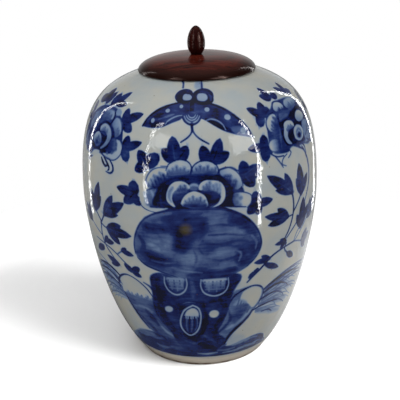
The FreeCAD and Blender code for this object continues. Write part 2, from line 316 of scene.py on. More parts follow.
class Brush:
    """Everything painted on the wall, touch by touch."""

    def __init__(self, degree):
        self.degree = degree
        self.turn = 0
        self.sway = 0
        self.touches = []

    def flat(self, points):
        """Given points, in degrees and millimetres, as places on the unrolled wall."""
        points = np.array(points, float)
        x = points[:, 0] * self.degree
        y = points[:, 1]
        x = x + self.sway * np.sin(y / 23) + self.sway * np.sin(x / 31)
        y = y + self.sway * np.sin(x / 19)
        return np.stack([x + self.turn * self.degree, y], -1)

    def add(self, shape, tone, lays, channel):
        self.touches.append((shape, tone, lays, channel))

    def fill(self, points, tone, soft=1.2, lays=True, step=2.6, fade=None, channel="cobalt"):
        """A wash inside an outline. With fade, (place, tone, place): from its own tone to another."""
        outline = even_line(self.flat(points), step, closed=True)
        area = np.sum(outline[:, 0] * np.roll(outline[:, 1], -1) - outline[:, 1] * np.roll(outline[:, 0], -1))
        if area > 0:
            outline = outline[::-1]
        if fade is not None:
            start, other, end = fade
            ends = self.flat([start, end])
            tone = (tone, ends[0], other, ends[1])
        self.add(Fill(outline, soft), tone, lays, channel)

    def line(self, points, widths, tone=DEEP, soft=None, lays=False, step=2.4, channel="cobalt"):
        """A brush line; widths are millimetres, spread evenly from its start to its end."""
        line = even_line(self.flat(points), step)
        widths = np.atleast_1d(np.array(widths, float))
        if len(widths) == 1:
            widths = np.repeat(widths, 2)
        along = np.linspace(0, 1, len(line))
        halves = np.interp(along, np.linspace(0, 1, len(widths)), widths) / 2
        if soft is None:
            soft = float(np.clip(halves.max() * 2, 0.5, 1.2))
        self.add(Stroke(line, halves, soft), tone, lays, channel)

    def lobe(self, base, tip, width, tone=DEEP, bow=0, point=0.1, lays=True, step=2.2):
        """One lobe of a leaf: a stroke pressed wide in the middle; bow bends it to its left."""
        (x0, y0), (x1, y1) = base, tip
        across = (x1 - x0) * self.degree
        middle = ((x0 + x1) / 2 - (y1 - y0) * bow / self.degree, (y0 + y1) / 2 + across * bow)
        widths = [width * s for s in (0.45, 0.86, 1, 0.93, 0.66, point)]
        self.line([base, middle, tip], widths, tone, soft=1.1, lays=lays, step=step)

    def dot(self, place, across, high, tone, soft=1, channel="cobalt", turn=0):
        """An oval spot, its two widths in millimetres."""
        lean = math.radians(turn)
        rim = []
        for angle in np.linspace(0, math.tau, 8, endpoint=False):
            x, y = across / 2 * math.cos(angle), high / 2 * math.sin(angle)
            rim.append((place[0] + (x * math.cos(lean) - y * math.sin(lean)) / self.degree,
                        place[1] + x * math.sin(lean) + y * math.cos(lean)))
        self.fill(rim, tone, soft, step=1.6, channel=channel)

    def comb(self, start, end, middle_pull, height, count, width, tone, lean=0, aside=0):
        """Short soft touches side by side along a bowed line; they lean apart, and all to one side."""
        (x0, y0), (x1, y1) = start, end
        for order in range(count):
            t = (order + 0.5) / count
            x = x0 + (x1 - x0) * t
            y = y0 + (y1 - y0) * t + middle_pull * 4 * t * (1 - t)
            reach = height * (0.6 + 0.8 * ((order * 7) % 5) / 4)
            tip = (x + (lean * (t - 0.5) + aside) / self.degree, y + reach)
            self.line([(x, y), tip], (width, width * 0.75), tone, soft=width * 0.8, lays=True)


# The picture

def butterfly(brush):
    """A large butterfly under the cover, wings spread, with two looped feelers."""
    fill, line, dot = brush.fill, brush.line, brush.dot
    fill([(-2, 301), (-2.5, 307), (-1, 313), (4, 313), (4.5, 303), (2, 300)], 0.26, soft=5)
    line([(-15.5, 314), (-12.6, 309.4), (-11.4, 302)], (2, 3, 2.8), DEEP, soft=1.8)
    line([(4.2, 314), (3.8, 307), (3.4, 300)], (2.4, 2.8, 3), FULL, soft=1.8)
    fill([(-3, 284), (-8, 284.5), (-15, 281), (-20, 277), (-24.5, 271), (-27.5, 264), (-29.2, 257.3),
          (-29.2, 257.3), (-25, 256.4), (-20, 257.2), (-15.5, 260.5), (-12, 264), (-8.5, 266),
          (-8.5, 266), (-3, 268), (0, 266), (3, 264.5), (8, 258.5), (12.5, 253.5), (16, 251),
          (20, 248.5), (26.3, 245.6), (26.3, 245.6), (25.4, 252), (22.5, 260.5), (18, 269.5),
          (13, 276.5), (8, 281), (2, 283.5)], 0.82, soft=1, step=2.4)
    fill([(-15.3, 291), (-13.8, 297), (-9.5, 300.3), (-5.5, 299), (-3.3, 295), (-3, 287),
          (-6, 282), (-11.5, 282), (-14.3, 286)], 0.95, soft=1, step=2.2)
    fill([(-3.4, 293), (-0.5, 298.5), (4, 300.8), (8.3, 299), (10.6, 294), (10.4, 288), (8.6, 281),
          (2, 279), (-2.8, 283)], 0.93, soft=1, step=2.2)
    fill([(-9.9, 289), (-9, 292.6), (-6.5, 293), (-4.2, 290.5), (-3.9, 286.5), (-6, 285), (-9, 285.4)],
         0.24, step=2)
    fill([(-0.5, 289.6), (0.4, 293), (3.4, 293.6), (6, 291.4), (6.2, 286), (3.8, 283.4), (0.2, 284.8)],
         0.24, soft=1.4, step=2)
    line([(-4.5, 294), (-6.5, 293.6), (-9.5, 296), (-12.5, 293.5), (-13, 288)], (1, 2.6, 3.2, 2.6, 1.4), INK)
    line([(-2, 287), (-2.2, 292), (0.5, 297), (5, 298.3), (8.6, 295)], (1.4, 2.4, 2, 2.6, 1.8), INK)
    line([(7.3, 292), (8.7, 289), (8, 284)], (1, 3, 2), FULL, lays=True)
    line([(-3.2, 286), (-3.4, 278), (-3.3, 271)], (3.2, 5.5, 3), INK)
    line([(-29, 257.5), (-27.3, 264.5), (-24, 271.5), (-19.5, 277), (-13, 281.3), (-6, 283.5)],
         (1.6, 2.2, 2.4, 2, 1.6, 1.2), INK)
    line([(26, 246.5), (24.8, 253), (21.8, 261), (17, 270), (11.5, 277), (5, 282)],
         (1.2, 2, 2.6, 2.8, 2.4, 1.6), INK)
    line([(-24, 258), (-19, 258.6), (-14, 262.5), (-9.5, 265.5)], (2.4, 2.2, 2.4, 1.6))
    line([(4, 265), (9, 260), (13.5, 255.5), (19, 251)], (2.6, 3.4, 3.4, 2), INK)
    line([(-25.5, 260), (-23.5, 266), (-19, 270)], (2.2, 3.4, 1.4))
    line([(3, 277), (9, 273.5), (14, 270.5)], (3, 4.6, 2))
    line([(0.5, 270), (5.5, 268), (10.5, 264.5)], (2.8, 4.4, 2.2))
    line([(17, 262), (20, 257.5), (22.5, 256)], (2.4, 3.6, 1.8))
    line([(-13, 270), (-18, 266.5), (-21, 264.5)], (1.2, 2.4, 1), MID, lays=True)
    fill([(16, 256), (17, 250.8), (21, 248.5), (25.4, 247), (25, 251), (22.8, 255), (19.5, 257)],
         MID, soft=2.2)
    for place, across, high in (
            ((-24, 263), 4, 4.6), ((-17, 273.2), 5.2, 4.2), ((-9.6, 278), 4.4, 4),
            ((5, 274.4), 5.8, 4.6), ((15.3, 265.6), 6.8, 5.2), ((21.9, 252.2), 5.4, 5.8)):
        dot(place, across, high, 0.26)
    line([(-16.8, 260.2), (-16, 263), (-13.8, 266), (-11, 268.3), (-8.6, 269)], (0.8, 1.3, 1.3, 1.1, 0.8),
         THIN, lays=True)
    line([(3.8, 263.8), (6.5, 265), (9.6, 263.3), (12, 259.5), (13.2, 254.6)], (0.8, 1.4, 1.5, 1.4, 0.9),
         THIN, lays=True)
    fill([(-8.6, 268), (-7.6, 263.5), (-5.6, 261), (-3.3, 260.3), (-1, 261), (0.6, 263.6), (1.2, 267),
          (-1, 271), (-3.3, 273), (-6, 271)], FULL, soft=1, step=2)
    for radius, tone in ((10.2, INK), (8.2, 0.24), (6, 0.24), (3.9, 0.24)):
        arc = [(-3.3 + radius * math.cos(a) / brush.degree, 270.5 + radius * math.sin(a))
               for a in map(math.radians, (196, 222, 248, 270, 292, 318, 344))]
        line(arc, (0.6, 1.1, 1.1, 0.6), tone, lays=True, step=1.8)
    line([(-3.3, 261), (-3.3, 254.5), (-5, 250), (-8.5, 245.5)], (3.2, 1.6, 1.5, 1.2))
    line([(-3.3, 261), (-2.6, 254.5), (0, 249), (4.6, 243.8)], (2.6, 1.4, 1.5, 1.2))


def main_peony(brush):
    """The full peony behind the rock, seen from the front, with four clusters of leaves."""
    fill, line, comb, dot, lobe = brush.fill, brush.line, brush.comb, brush.dot, brush.lobe
    for base, tip, width in (
            ((-10.5, 229), (-12.7, 250), 12.5), ((-9, 230), (-5.6, 242), 11),
            ((-12, 230), (-17, 239.5), 10), ((3.4, 228), (1.4, 242), 11),
            ((6.2, 228), (9.9, 247.5), 11), ((6.5, 229), (13.4, 235.5), 10)):
        lobe(base, tip, width)
    line([(-11, 231), (-12.2, 243)], (1.4, 0.5), FULL, lays=True)
    line([(6.5, 231), (8.8, 241)], (1.4, 0.5), INK)
    line([(-9.5, 231), (-6.5, 239)], (1.6, 0.5), INK)
    fill([(-24, 192), (-22.5, 204), (-20, 213), (-15, 221), (-8, 225), (0, 225.5), (7, 223), (13, 219),
          (17, 211), (19.5, 201), (18, 190), (12, 186), (0, 188), (-14, 187), (-20, 188)], 0.8, soft=1.6)
    fill([(-24, 194), (-23, 203), (-20.5, 206.5), (-18, 203), (-18.6, 196), (-20.5, 191)], 0.5, soft=3)
    line([(-22.6, 205.4), (-20.8, 199), (-20.8, 192)], (1.4, 2.2, 1.4), 0.3, soft=1.8, lays=True)
    fill([(-16, 223.8), (-20, 221.5), (-23, 216.5), (-24.2, 210.5), (-23, 207.5), (-19.5, 208.5),
          (-16.4, 213.5), (-14.6, 220)], 0.06)
    comb((-22.6, 205.6), (-14.6, 216.6), 0, 4.6, 6, 3.2, MID, aside=-2.6)
    comb((-21, 205.6), (-14.6, 214), 0, 4, 5, 2.8, DEEP, aside=-1.6)
    line([(-14.5, 224), (-19, 223.6), (-22.5, 219.5), (-24.4, 212), (-23.2, 206.5)],
         (0.7, 0.9, 1.1, 1.1, 0.8), FULL)
    line([(-14, 225.3), (-17.5, 225.2)], (1, 0.6), FULL)
    fill([(9, 222), (12, 223), (15.2, 219.5), (17.6, 214), (18.6, 208), (16.4, 203.6), (13, 207.5),
          (11, 213), (9, 218)], 0.12, fade=((15, 217), 0.56, (11.5, 208)))
    comb((9.4, 214.6), (15.6, 205), 0, 4.6, 5, 3, 0.66, aside=2)
    comb((9.2, 212), (14.6, 204), 0, 3.4, 4, 2.8, DEEP, aside=1.2)
    line([(8.6, 222.2), (12, 223.6), (15.8, 220), (18.2, 213.5), (19, 206)], (0.9, 1.1, 1.1, 1.1, 0.7), FULL)
    line([(8.8, 222), (13.8, 223.3), (17.2, 219.2)], (1.3, 1.1, 1.1))
    fill([(-14.6, 222), (-13, 227.5), (-9.5, 230.7), (-6, 229.8), (-4, 226), (-4.2, 221), (-6, 217.5),
          (-12.5, 217.5)], HAZE, soft=1.1)
    fill([(-14.4, 220.5), (-9.5, 222.4), (-4.2, 220.5), (-5, 217), (-12.5, 217)], MID, soft=2.4,
         fade=((-9.5, 223), 0.8, (-9, 217)))
    comb((-13.8, 219.4), (-4.8, 219.6), 1.4, 3.2, 6, 3, 0.66, lean=3)
    fill([(-3.9, 221), (-2.5, 226), (0.2, 229), (3.2, 229.6), (6, 227.6), (7.8, 223), (7.6, 220),
          (6, 217.5), (-3, 217.5)], HAZE, soft=1.1)
    fill([(-3.8, 220), (2, 222.4), (7.7, 220.5), (6, 217), (-3, 217)], MID, soft=2.4,
         fade=((2, 223), 0.8, (2, 217)))
    comb((-3.4, 219.4), (7.2, 219.6), 1.6, 3.6, 7, 3, 0.66, lean=3)
    line([(-15, 222), (-13.6, 227.6), (-9.6, 231.3), (-5.6, 230.2), (-3.6, 225.5), (-4, 220)],
         (0.8, 1, 1.1, 1.1, 1, 0.9))
    line([(-4, 219), (-2.8, 226), (0.2, 229.8), (3.4, 230.3), (6.6, 228), (8.3, 222.5), (8, 219)],
         (1.2, 1, 1.1, 1.1, 1, 0.8))
    fill([(-21, 190), (-19.5, 203), (-16.5, 211.5), (-12, 216.5), (-4, 218.5), (4, 218.6), (10, 215.5),
          (13.6, 207.5), (14.8, 198), (14, 188), (0, 187), (-12, 188)], INK, soft=2.2)
    line([(-17.3, 192), (-17.6, 203), (-14.5, 210.5), (-9.5, 215)], (2, 2.2, 1.8, 1.2),
         0.9, soft=1.8, lays=True)
    dot((-2.7, 209), 8.5, 5, 0.28, soft=1.8)
    dot((-2.7, 207), 8.5, 4.4, 0.66, soft=1.8)
    fill([(-4.6, 209.3), (-6.2, 212), (-8.6, 213.3), (-11.6, 212), (-13.8, 207.5), (-14.9, 201),
          (-14.6, 195.5),
          (-12.6, 191.6), (-10.8, 190.4), (-11.8, 194), (-12.4, 198.5), (-11.6, 202.5), (-9.5, 205),
          (-6.5, 205.6), (-4.6, 207)], 0.08, soft=1.1, step=2)
    line([(-12, 207.6), (-13.4, 203), (-13.6, 198), (-12.6, 195)], (2, 3.2, 2.6, 1.2),
         0.46, soft=2, lays=True)
    fill([(-4.8, 206.4), (-8, 206.6), (-10.8, 204.5), (-12, 201), (-11.6, 197), (-9, 198), (-6, 203)], DEEP,
         soft=2, step=2.2)
    comb((-11.8, 200.6), (-5.4, 205.4), 1.2, 3.4, 5, 2.8, 0.7, lean=-3)
    fill([(-0.6, 206), (-0.2, 210.5), (1.8, 213.4), (4.2, 213.8), (8.4, 212.2), (10.4, 207.5), (10.9, 202),
          (10.4, 196.5), (8.4, 192), (5, 190), (4.2, 190.4), (7, 194), (8.6, 199), (8.2, 204), (4.6, 206),
          (1.6, 205.4)], 0.08, soft=1.1, step=2)
    fill([(0.8, 205.6), (4, 207.4), (7.2, 207), (8.6, 203.6), (8.4, 199), (5.8, 199), (2.6, 202)], DEEP,
         soft=2, step=2.2)
    comb((1.2, 205.4), (8.6, 202.6), 1.6, 4.4, 6, 2.8, 0.6, lean=2)
    comb((4.4, 206.6), (9, 202), 1.2, 4.6, 3, 2.6, 0.36, lean=2)
    line([(8.8, 199), (7.4, 194), (4.6, 190.2)], (0.8, 1, 0.8))
    fill([(-8.2, 192.5), (-7.6, 198.5), (-5.6, 202.6), (-3, 204.6), (-0.6, 203.6), (1.8, 200.8), (2.9, 196),
          (2.8, 191), (-2.6, 189.6)], 0.08, soft=1.1, step=2)
    fill([(-7.8, 193), (-5, 195.6), (-2.6, 196.4), (0.4, 195.6), (2.7, 193.4), (2.4, 190), (-2.6, 189.6),
          (-7, 191)], 0.7, soft=2.2, fade=((-2.6, 197), DEEP, (-2.6, 190)), step=2.2)
    comb((-6.8, 193.6), (2, 193.6), 1.4, 3.6, 6, 2.8, 0.6, lean=2)
    fill([(-27.6, 193.5), (-27.2, 198), (-25.5, 202.5), (-23.6, 200), (-22.6, 195), (-23.4, 190),
          (-25.6, 188.4)], 0.06, soft=1.4, fade=((-26, 195), 0.36, (-22.6, 196)))
    comb((-23.4, 189.5), (-22.6, 202.5), 0, 1.2, 5, 2.6, 0.5, aside=-1.6)
    line([(-24, 203.5), (-20.5, 206), (-17.8, 205)], (0.9, 1.3, 1), FULL)
    line([(-27.8, 191), (-25.4, 187), (-22, 185), (-17, 184)], (0.9, 1, 0.9, 0.6), FULL)
    fill([(-25.5, 189), (-20, 188.6), (-14, 189.3), (-17.5, 186.8), (-22, 185.2)], HAZE, step=2.2)
    line([(-22.5, 189), (-16, 189.4)], (1.3, 1))
    fill([(14.2, 200), (18.5, 200.6), (22, 197.5), (22.8, 193), (20.6, 188), (17, 186.5), (14.6, 190)], 0.06,
         soft=1.3, fade=((18.6, 195), 0.66, (14.6, 194)))
    for place, tone in (((15.8, 199), 0.56), ((17.6, 196), 0.5), ((15.6, 192.6), MID), ((17, 189.6), 0.5)):
        dot(place, 4.4, 3.4, tone, soft=2.2)
    line([(14, 202), (18.6, 201), (22.4, 197.6), (23, 192), (20.6, 186.6)], (0.9, 1.1, 1, 0.9, 0.7), FULL)
    fill([(10.5, 189.6), (15, 188.4), (20, 186.8), (19.6, 183.4), (15.6, 185)], HAZE, step=2.2)
    line([(10.8, 189.9), (15.5, 188.8), (20, 187.4)], (1, 1.2, 0.8))


def side_leaves(brush):
    """The four leaf clusters beside the main peony."""
    line, lobe = brush.line, brush.lobe
    clusters = (
        (((-24.5, 225), (-28.6, 235.5), 11), ((-23.5, 226), (-19.2, 233.5), 12.5), ((-24.5, 226),
                                                                                    (-29.6, 219.5), 10.5),
         ((-24, 224), (-21, 229), 9)),
        (((-31, 198), (-30.6, 208.6), 12), ((-30.5, 199), (-39.8, 201), 9.5), ((-30, 198), (-35.8, 189.5),
                                                                               11),
         ((-31, 196), (-27.6, 190), 9)),
        (((20.5, 214), (19.4, 226), 11.5), ((20, 214), (27.4, 221), 11), ((20, 214.5), (24, 205.6), 11.5),
         ((21.6, 213.6), (26.6, 214.4), 8)),
        (((25.2, 188), (24.6, 198.5), 10.5), ((25.5, 188), (33.2, 189), 8.5), ((25.4, 188), (21.2, 181.5),
                                                                               10),
         ((25.5, 187), (26.4, 179), 8.5)),
    )
    for cluster in clusters:
        for base, tip, width in cluster:
            lobe(base, tip, width, point=0.25)
    for points in ([(-25, 226), (-27.6, 232)], [(-31, 199), (-36.5, 200.4)], [(20.2, 216), (24.6, 219.8)],
                   [(20.4, 213.5), (22.6, 208.5)]):
        line(points, (1.2, 0.5), FULL, lays=True)
    for points in ([(-24, 226), (-21.5, 230.5)], [(-31, 198), (-33.6, 192.6)], [(25.4, 189), (25, 194.5)]):
        line(points, (1.8, 0.6), INK)


def great_rock(brush):
    """The broad rock over the middle, washed in streaks."""
    fill, line, dot = brush.fill, brush.line, brush.dot
    fill([(-32.4, 150), (-31.6, 158), (-30, 166), (-26.6, 176), (-21, 183.4), (-13, 187.6), (-3, 189.3),
          (8, 188.6), (14.5, 184.6), (20.5, 177.4), (24.6, 168.5), (27.3, 159), (28.2, 150), (26.8, 141),
          (23, 131.5), (17, 125), (10, 121.6), (-3, 120.6), (-10, 121.6), (-20, 126.6), (-28, 131.4),
          (-31.6, 139)], 0.65, soft=1.6, step=3.6)
    fill([(-26, 150), (-25, 160), (-21, 167.5), (-15.5, 166), (-12.5, 158), (-12.5, 150), (-16, 145.5),
          (-21, 145)], 0.54, soft=7, step=4)
    fill([(-24.5, 154), (-22, 161), (-19, 162.5), (-16.5, 156), (-18, 148.5), (-21.5, 149)], 0.38, soft=5,
         step=4)
    for points in ([(-26, 163), (-22, 160), (-16, 163)], [(-24.6, 157), (-20, 155.4), (-14.6, 157.6)],
                   [(-24, 150), (-19.4, 152.4), (-14, 149)], [(-20, 166), (-17.6, 158), (-18.6, 148)]):
        line(points, (1.6, 3, 1.6), 0.58, soft=3, lays=True, step=3.4)
    fill([(2, 176), (8, 179.5), (15, 176), (15, 171.5), (6, 170.5)], 0.52, soft=6, step=4)
    fill([(1, 163), (6, 168.5), (16, 168.8), (22, 164), (14, 160.6), (5, 158.5)], 0.5, soft=5, step=4)
    fill([(3, 145), (8, 151.6), (15, 151), (18.5, 146), (15, 141.5), (8, 142)], 0.5, soft=5, step=4)
    fill([(-12, 142), (-10, 148.5), (-4, 149), (0, 144), (-3, 137.5), (-9, 136)], 0.52, soft=5, step=4)
    fill([(8, 132), (11, 138.6), (18, 136), (17, 131)], 0.52, soft=4.5, step=4)
    fill([(-31, 143), (-27, 147), (-17, 144), (-14, 138), (-18, 133), (-26, 133.4)], DEEP, soft=6, step=4)
    fill([(17, 150), (24, 151), (27.4, 149), (25.6, 139), (21, 132), (17.5, 133), (15.5, 139)], DEEP, soft=6,
         step=4)
    fill([(-27, 171), (-24, 175.5), (-18, 173.5), (-14.5, 168), (-19, 166.6), (-24, 166)],
         0.9, soft=5, step=4)
    fill([(14, 183), (19, 178), (23.4, 169.5), (25.4, 160), (21.5, 160), (18, 168.6), (12, 175)],
         0.84, soft=5, step=4)
    fill([(-13, 152), (-12.6, 165), (-17, 176), (-12, 184), (-2, 185), (2.5, 177), (0.6, 166), (-4, 158),
          (-8, 148)], 0.87, soft=6, step=4)
    fill([(-8, 126), (-1, 131), (9, 129.5), (16, 131), (15, 125.4), (5, 122), (-5, 122)], 0.86, soft=4,
         step=4)
    for points, widths, tone in (
            ([(-29, 160), (-27, 152), (-29.5, 143)], (2, 5, 2), 0.84),
            ([(-26, 178), (-20, 182), (-13, 184.5)], (1.5, 4, 1.5), 0.52),
            ([(-11, 176), (-4, 185), (3, 186.6)], (2, 3, 2), FULL),
            ([(1.5, 173.5), (9, 173.8), (18, 170)], (1, 1.8, 0.8), FULL),
            ([(3, 164.8), (12, 164.4), (20, 161)], (0.8, 1.7, 0.9), FULL),
            ([(0, 157.6), (9, 155.4), (17, 156.6), (24, 153)], (1.2, 2.4, 2, 1), FULL),
            ([(2, 152.8), (10, 153.4), (17, 151.6)], (1, 1.6, 0.8), 0.7),
            ([(2, 141.6), (9, 139.8), (15, 141), (20, 139)], (1, 2.2, 1.6, 1), FULL),
            ([(-3.6, 150), (-2.4, 143), (-3.4, 136)], (1, 2.2, 1), FULL),
            ([(-8, 135), (-2, 132.4), (6, 134.4)], (1, 2.4, 1), 0.7),
            ([(-14, 132.4), (-8, 129.4), (0, 127.8)], (1.4, 2.4, 1), 0.52),
            ([(0.6, 160), (-1.4, 153), (0.4, 147)], (1, 2.2, 1), 0.74),
            ([(14.6, 148.6), (18, 144.6), (17, 137)], (1, 2.6, 1.4), 0.5),
            ([(22.8, 160), (25.4, 153), (25, 146)], (1, 2, 1), 0.5),
            ([(-24, 137.5), (-17, 136.4), (-11, 139)], (1, 2.2, 1), MID)):
        line(points, widths, tone, soft=2.2, lays=True, step=3.2)
    fill([(-12.6, 171), (-10.5, 176), (-5.6, 176.6), (-3, 172), (-4.6, 166.4), (-9.6, 164.4)], 0.95, soft=5,
         step=3)
    dot((-6.7, 170.6), 9, 9, 0.9, soft=5, channel="stain")
    line([(-32.2, 141), (-32.3, 151), (-30.6, 163), (-26.9, 175), (-21, 183), (-13, 187.6), (-3, 189),
          (8, 188.4), (14.3, 184.6), (20.2, 177.4), (24.4, 168.5), (27.1, 159), (28, 149), (25.8, 138),
          (21, 129.4)], (0.8, 1.3, 1.6, 1.8, 1.6, 1.6, 1.8, 2.4, 2.6, 2.4, 1.6, 1.3, 1.3, 1), DEEP, step=3)
    line([(-31.6, 138), (-27.5, 131.6), (-20, 127), (-12, 122.4)], (1, 1.6, 1.4, 1.2), DEEP, step=3)


def half_moon(brush, left, right, top, bottom, pale):
    """A hollow in the dark rock: flat above, round below, ringed pale and hatched."""
    fill, line = brush.fill, brush.line
    middle = (left + right) / 2
    rim = [(left, top), (left - 0.2, (top + bottom) / 2 + 2), (left + 1.6, bottom + 3.6), (middle, bottom),
           (right - 1.6, bottom + 3.6), (right + 0.2, (top + bottom) / 2 + 2), (right, top)]
    inner = [(middle + (u - middle) * 0.74, v + (3.2 if v < top - 1 else 0)) for u, v in rim]
    fill([rim[0]] + rim + [rim[-1]], DEEP)
    fill([inner[0]] + inner + [inner[-1]], 0.4, soft=1.6, fade=((middle, top - 4),
                                                                0.74, (middle, bottom + 5)))
    fill([(left + 1.4, top), (left + 1.5, top - 2.6), (right - 1.5, top - 2.6), (right - 1.4, top)], pale,
         soft=2.4)
    for order in range(6):
        u = left + 1.8 + (right - left - 3.6) * order / 5
        bow = abs(order - 2.5) / 2.5
        line([(u, top - 2.4), (u, bottom + 4.6 + 2.6 * bow ** 2)], (1.3, 0.9), 0.48 if order % 2 else 0.72,
             soft=1.4, lays=True)
    for order in range(3):
        v = top - 4.4 - 3.4 * order
        line([(left + 1.6 + 0.3 * order, v), (right - 1.6 - 0.3 * order, v)], (1, 1),
             0.5, soft=1.4, lays=True)
    line(rim, (0.9, 1.4, 1.8, 1.8, 1.4, 0.9), 0.27, lays=True, step=2)


def dark_rock(brush):
    """The pierced rock below, nearly black, tapering into the ground."""
    fill, line, dot = brush.fill, brush.line, brush.dot
    fill([(-25.6, 121), (-26.4, 112), (-26.4, 100), (-27.2, 86), (-26.6, 75), (-23.6, 65), (-19.5, 54),
          (-18, 44), (-14, 32), (-4, 25), (6, 27), (12, 37), (13, 45), (8, 56), (10.5, 68), (13, 84),
          (15.2, 105), (18.6, 116), (18, 123), (10, 125), (-3, 122), (-12, 122), (-20, 126)], 0.89, soft=1.8,
         step=3.4)
    for points, widths, tone in (
            ([(-20.5, 123), (-22.4, 113), (-22.6, 102)], (3, 6, 3), INK),
            ([(-22, 98), (-23, 84), (-21, 70), (-16.6, 58)], (4, 8, 8, 4), INK),
            ([(-14, 96), (-9, 99.5), (-3, 97.6)], (1.4, 3, 1.6), FULL),
            ([(-16.5, 93), (-13.4, 88.6), (-13.6, 80)], (1, 2.4, 1.4), 0.8),
            ([(-5.5, 118), (-4.6, 108), (-5.4, 99)], (4, 6, 3), FULL),
            ([(1, 97), (4, 92), (9, 94)], (1.6, 2.6, 1.6), 0.82),
            ([(8, 99), (11, 88), (10, 76), (6, 64)], (3, 7, 6, 3), INK),
            ([(0, 92), (1.4, 76), (-0.4, 60), (-3, 50)], (2, 4, 5, 3), INK),
            ([(13, 118), (16, 112), (14, 104)], (2, 4, 2), DEEP),
            ([(-15, 62), (-14.6, 50), (-9, 44)], (3, 6, 3), DEEP),
            ([(-6, 46), (-1, 38), (6, 34)], (3, 8, 4), INK),
            ([(0, 52), (4, 47), (7, 41)], (2, 4, 2), FULL),
            ([(-12, 44), (-6, 41), (-1, 46)], (1.6, 3, 1.4), FULL),
            ([(-10, 35), (-3, 31), (4, 30)], (1.4, 2.8, 1.4), 0.82)):
        line(points, widths, tone, soft=2.4, lays=True, step=3.2)
    half_moon(brush, -18.4, -7.8, 121.5, 103, 0.34)
    half_moon(brush, -0.8, 12.2, 120.5, 101.8, 0.16)
    oval = [(-5.4, 91.4), (-9.4, 86.5), (-11.6, 79.5), (-13, 69.5), (-12.2, 60), (-8.9, 53), (-5.6, 55),
            (-3, 62),
            (-1.8, 71), (-1.5, 80), (-2.6, 88)]
    fill(oval, DEEP)
    inner = [(-7.2 + (u + 7.2) * 0.7, 71.5 + (v - 71.5) * 0.84) for u, v in oval]
    fill(inner, 0.78)
    fill([(-10.2, 76), (-9, 84), (-5.6, 88.4), (-3, 85), (-2.8, 77.4), (-6.4, 74.6)], 0.1, soft=1.8)
    for order in range(6):
        t = order / 5
        line([(-10.2 + 6.6 * t, 77.5), (-11.2 + 7.6 * t, 66), (-10.6 + 5.4 * t, 57 + 2.6 * abs(2 * t - 1))],
             (1.8, 1.3, 0.8), 0.56 if order % 2 else 0.92, soft=1.4, lays=True)
    line(oval + oval[:1], (1.9, 1.7, 2, 1.7, 1.9), 0.24, lays=True, step=2.4)
    line([(-10.4, 93), (-7.6, 95), (-4, 94.4)], (0.8, 1.2, 0.6), MID, lays=True)
    dot((-18.4, 85), 9.4, 7.2, 0.16, soft=1.8, turn=20)
    dot((5.5, 80.4), 10.4, 9.4, 0.05, soft=1.8)


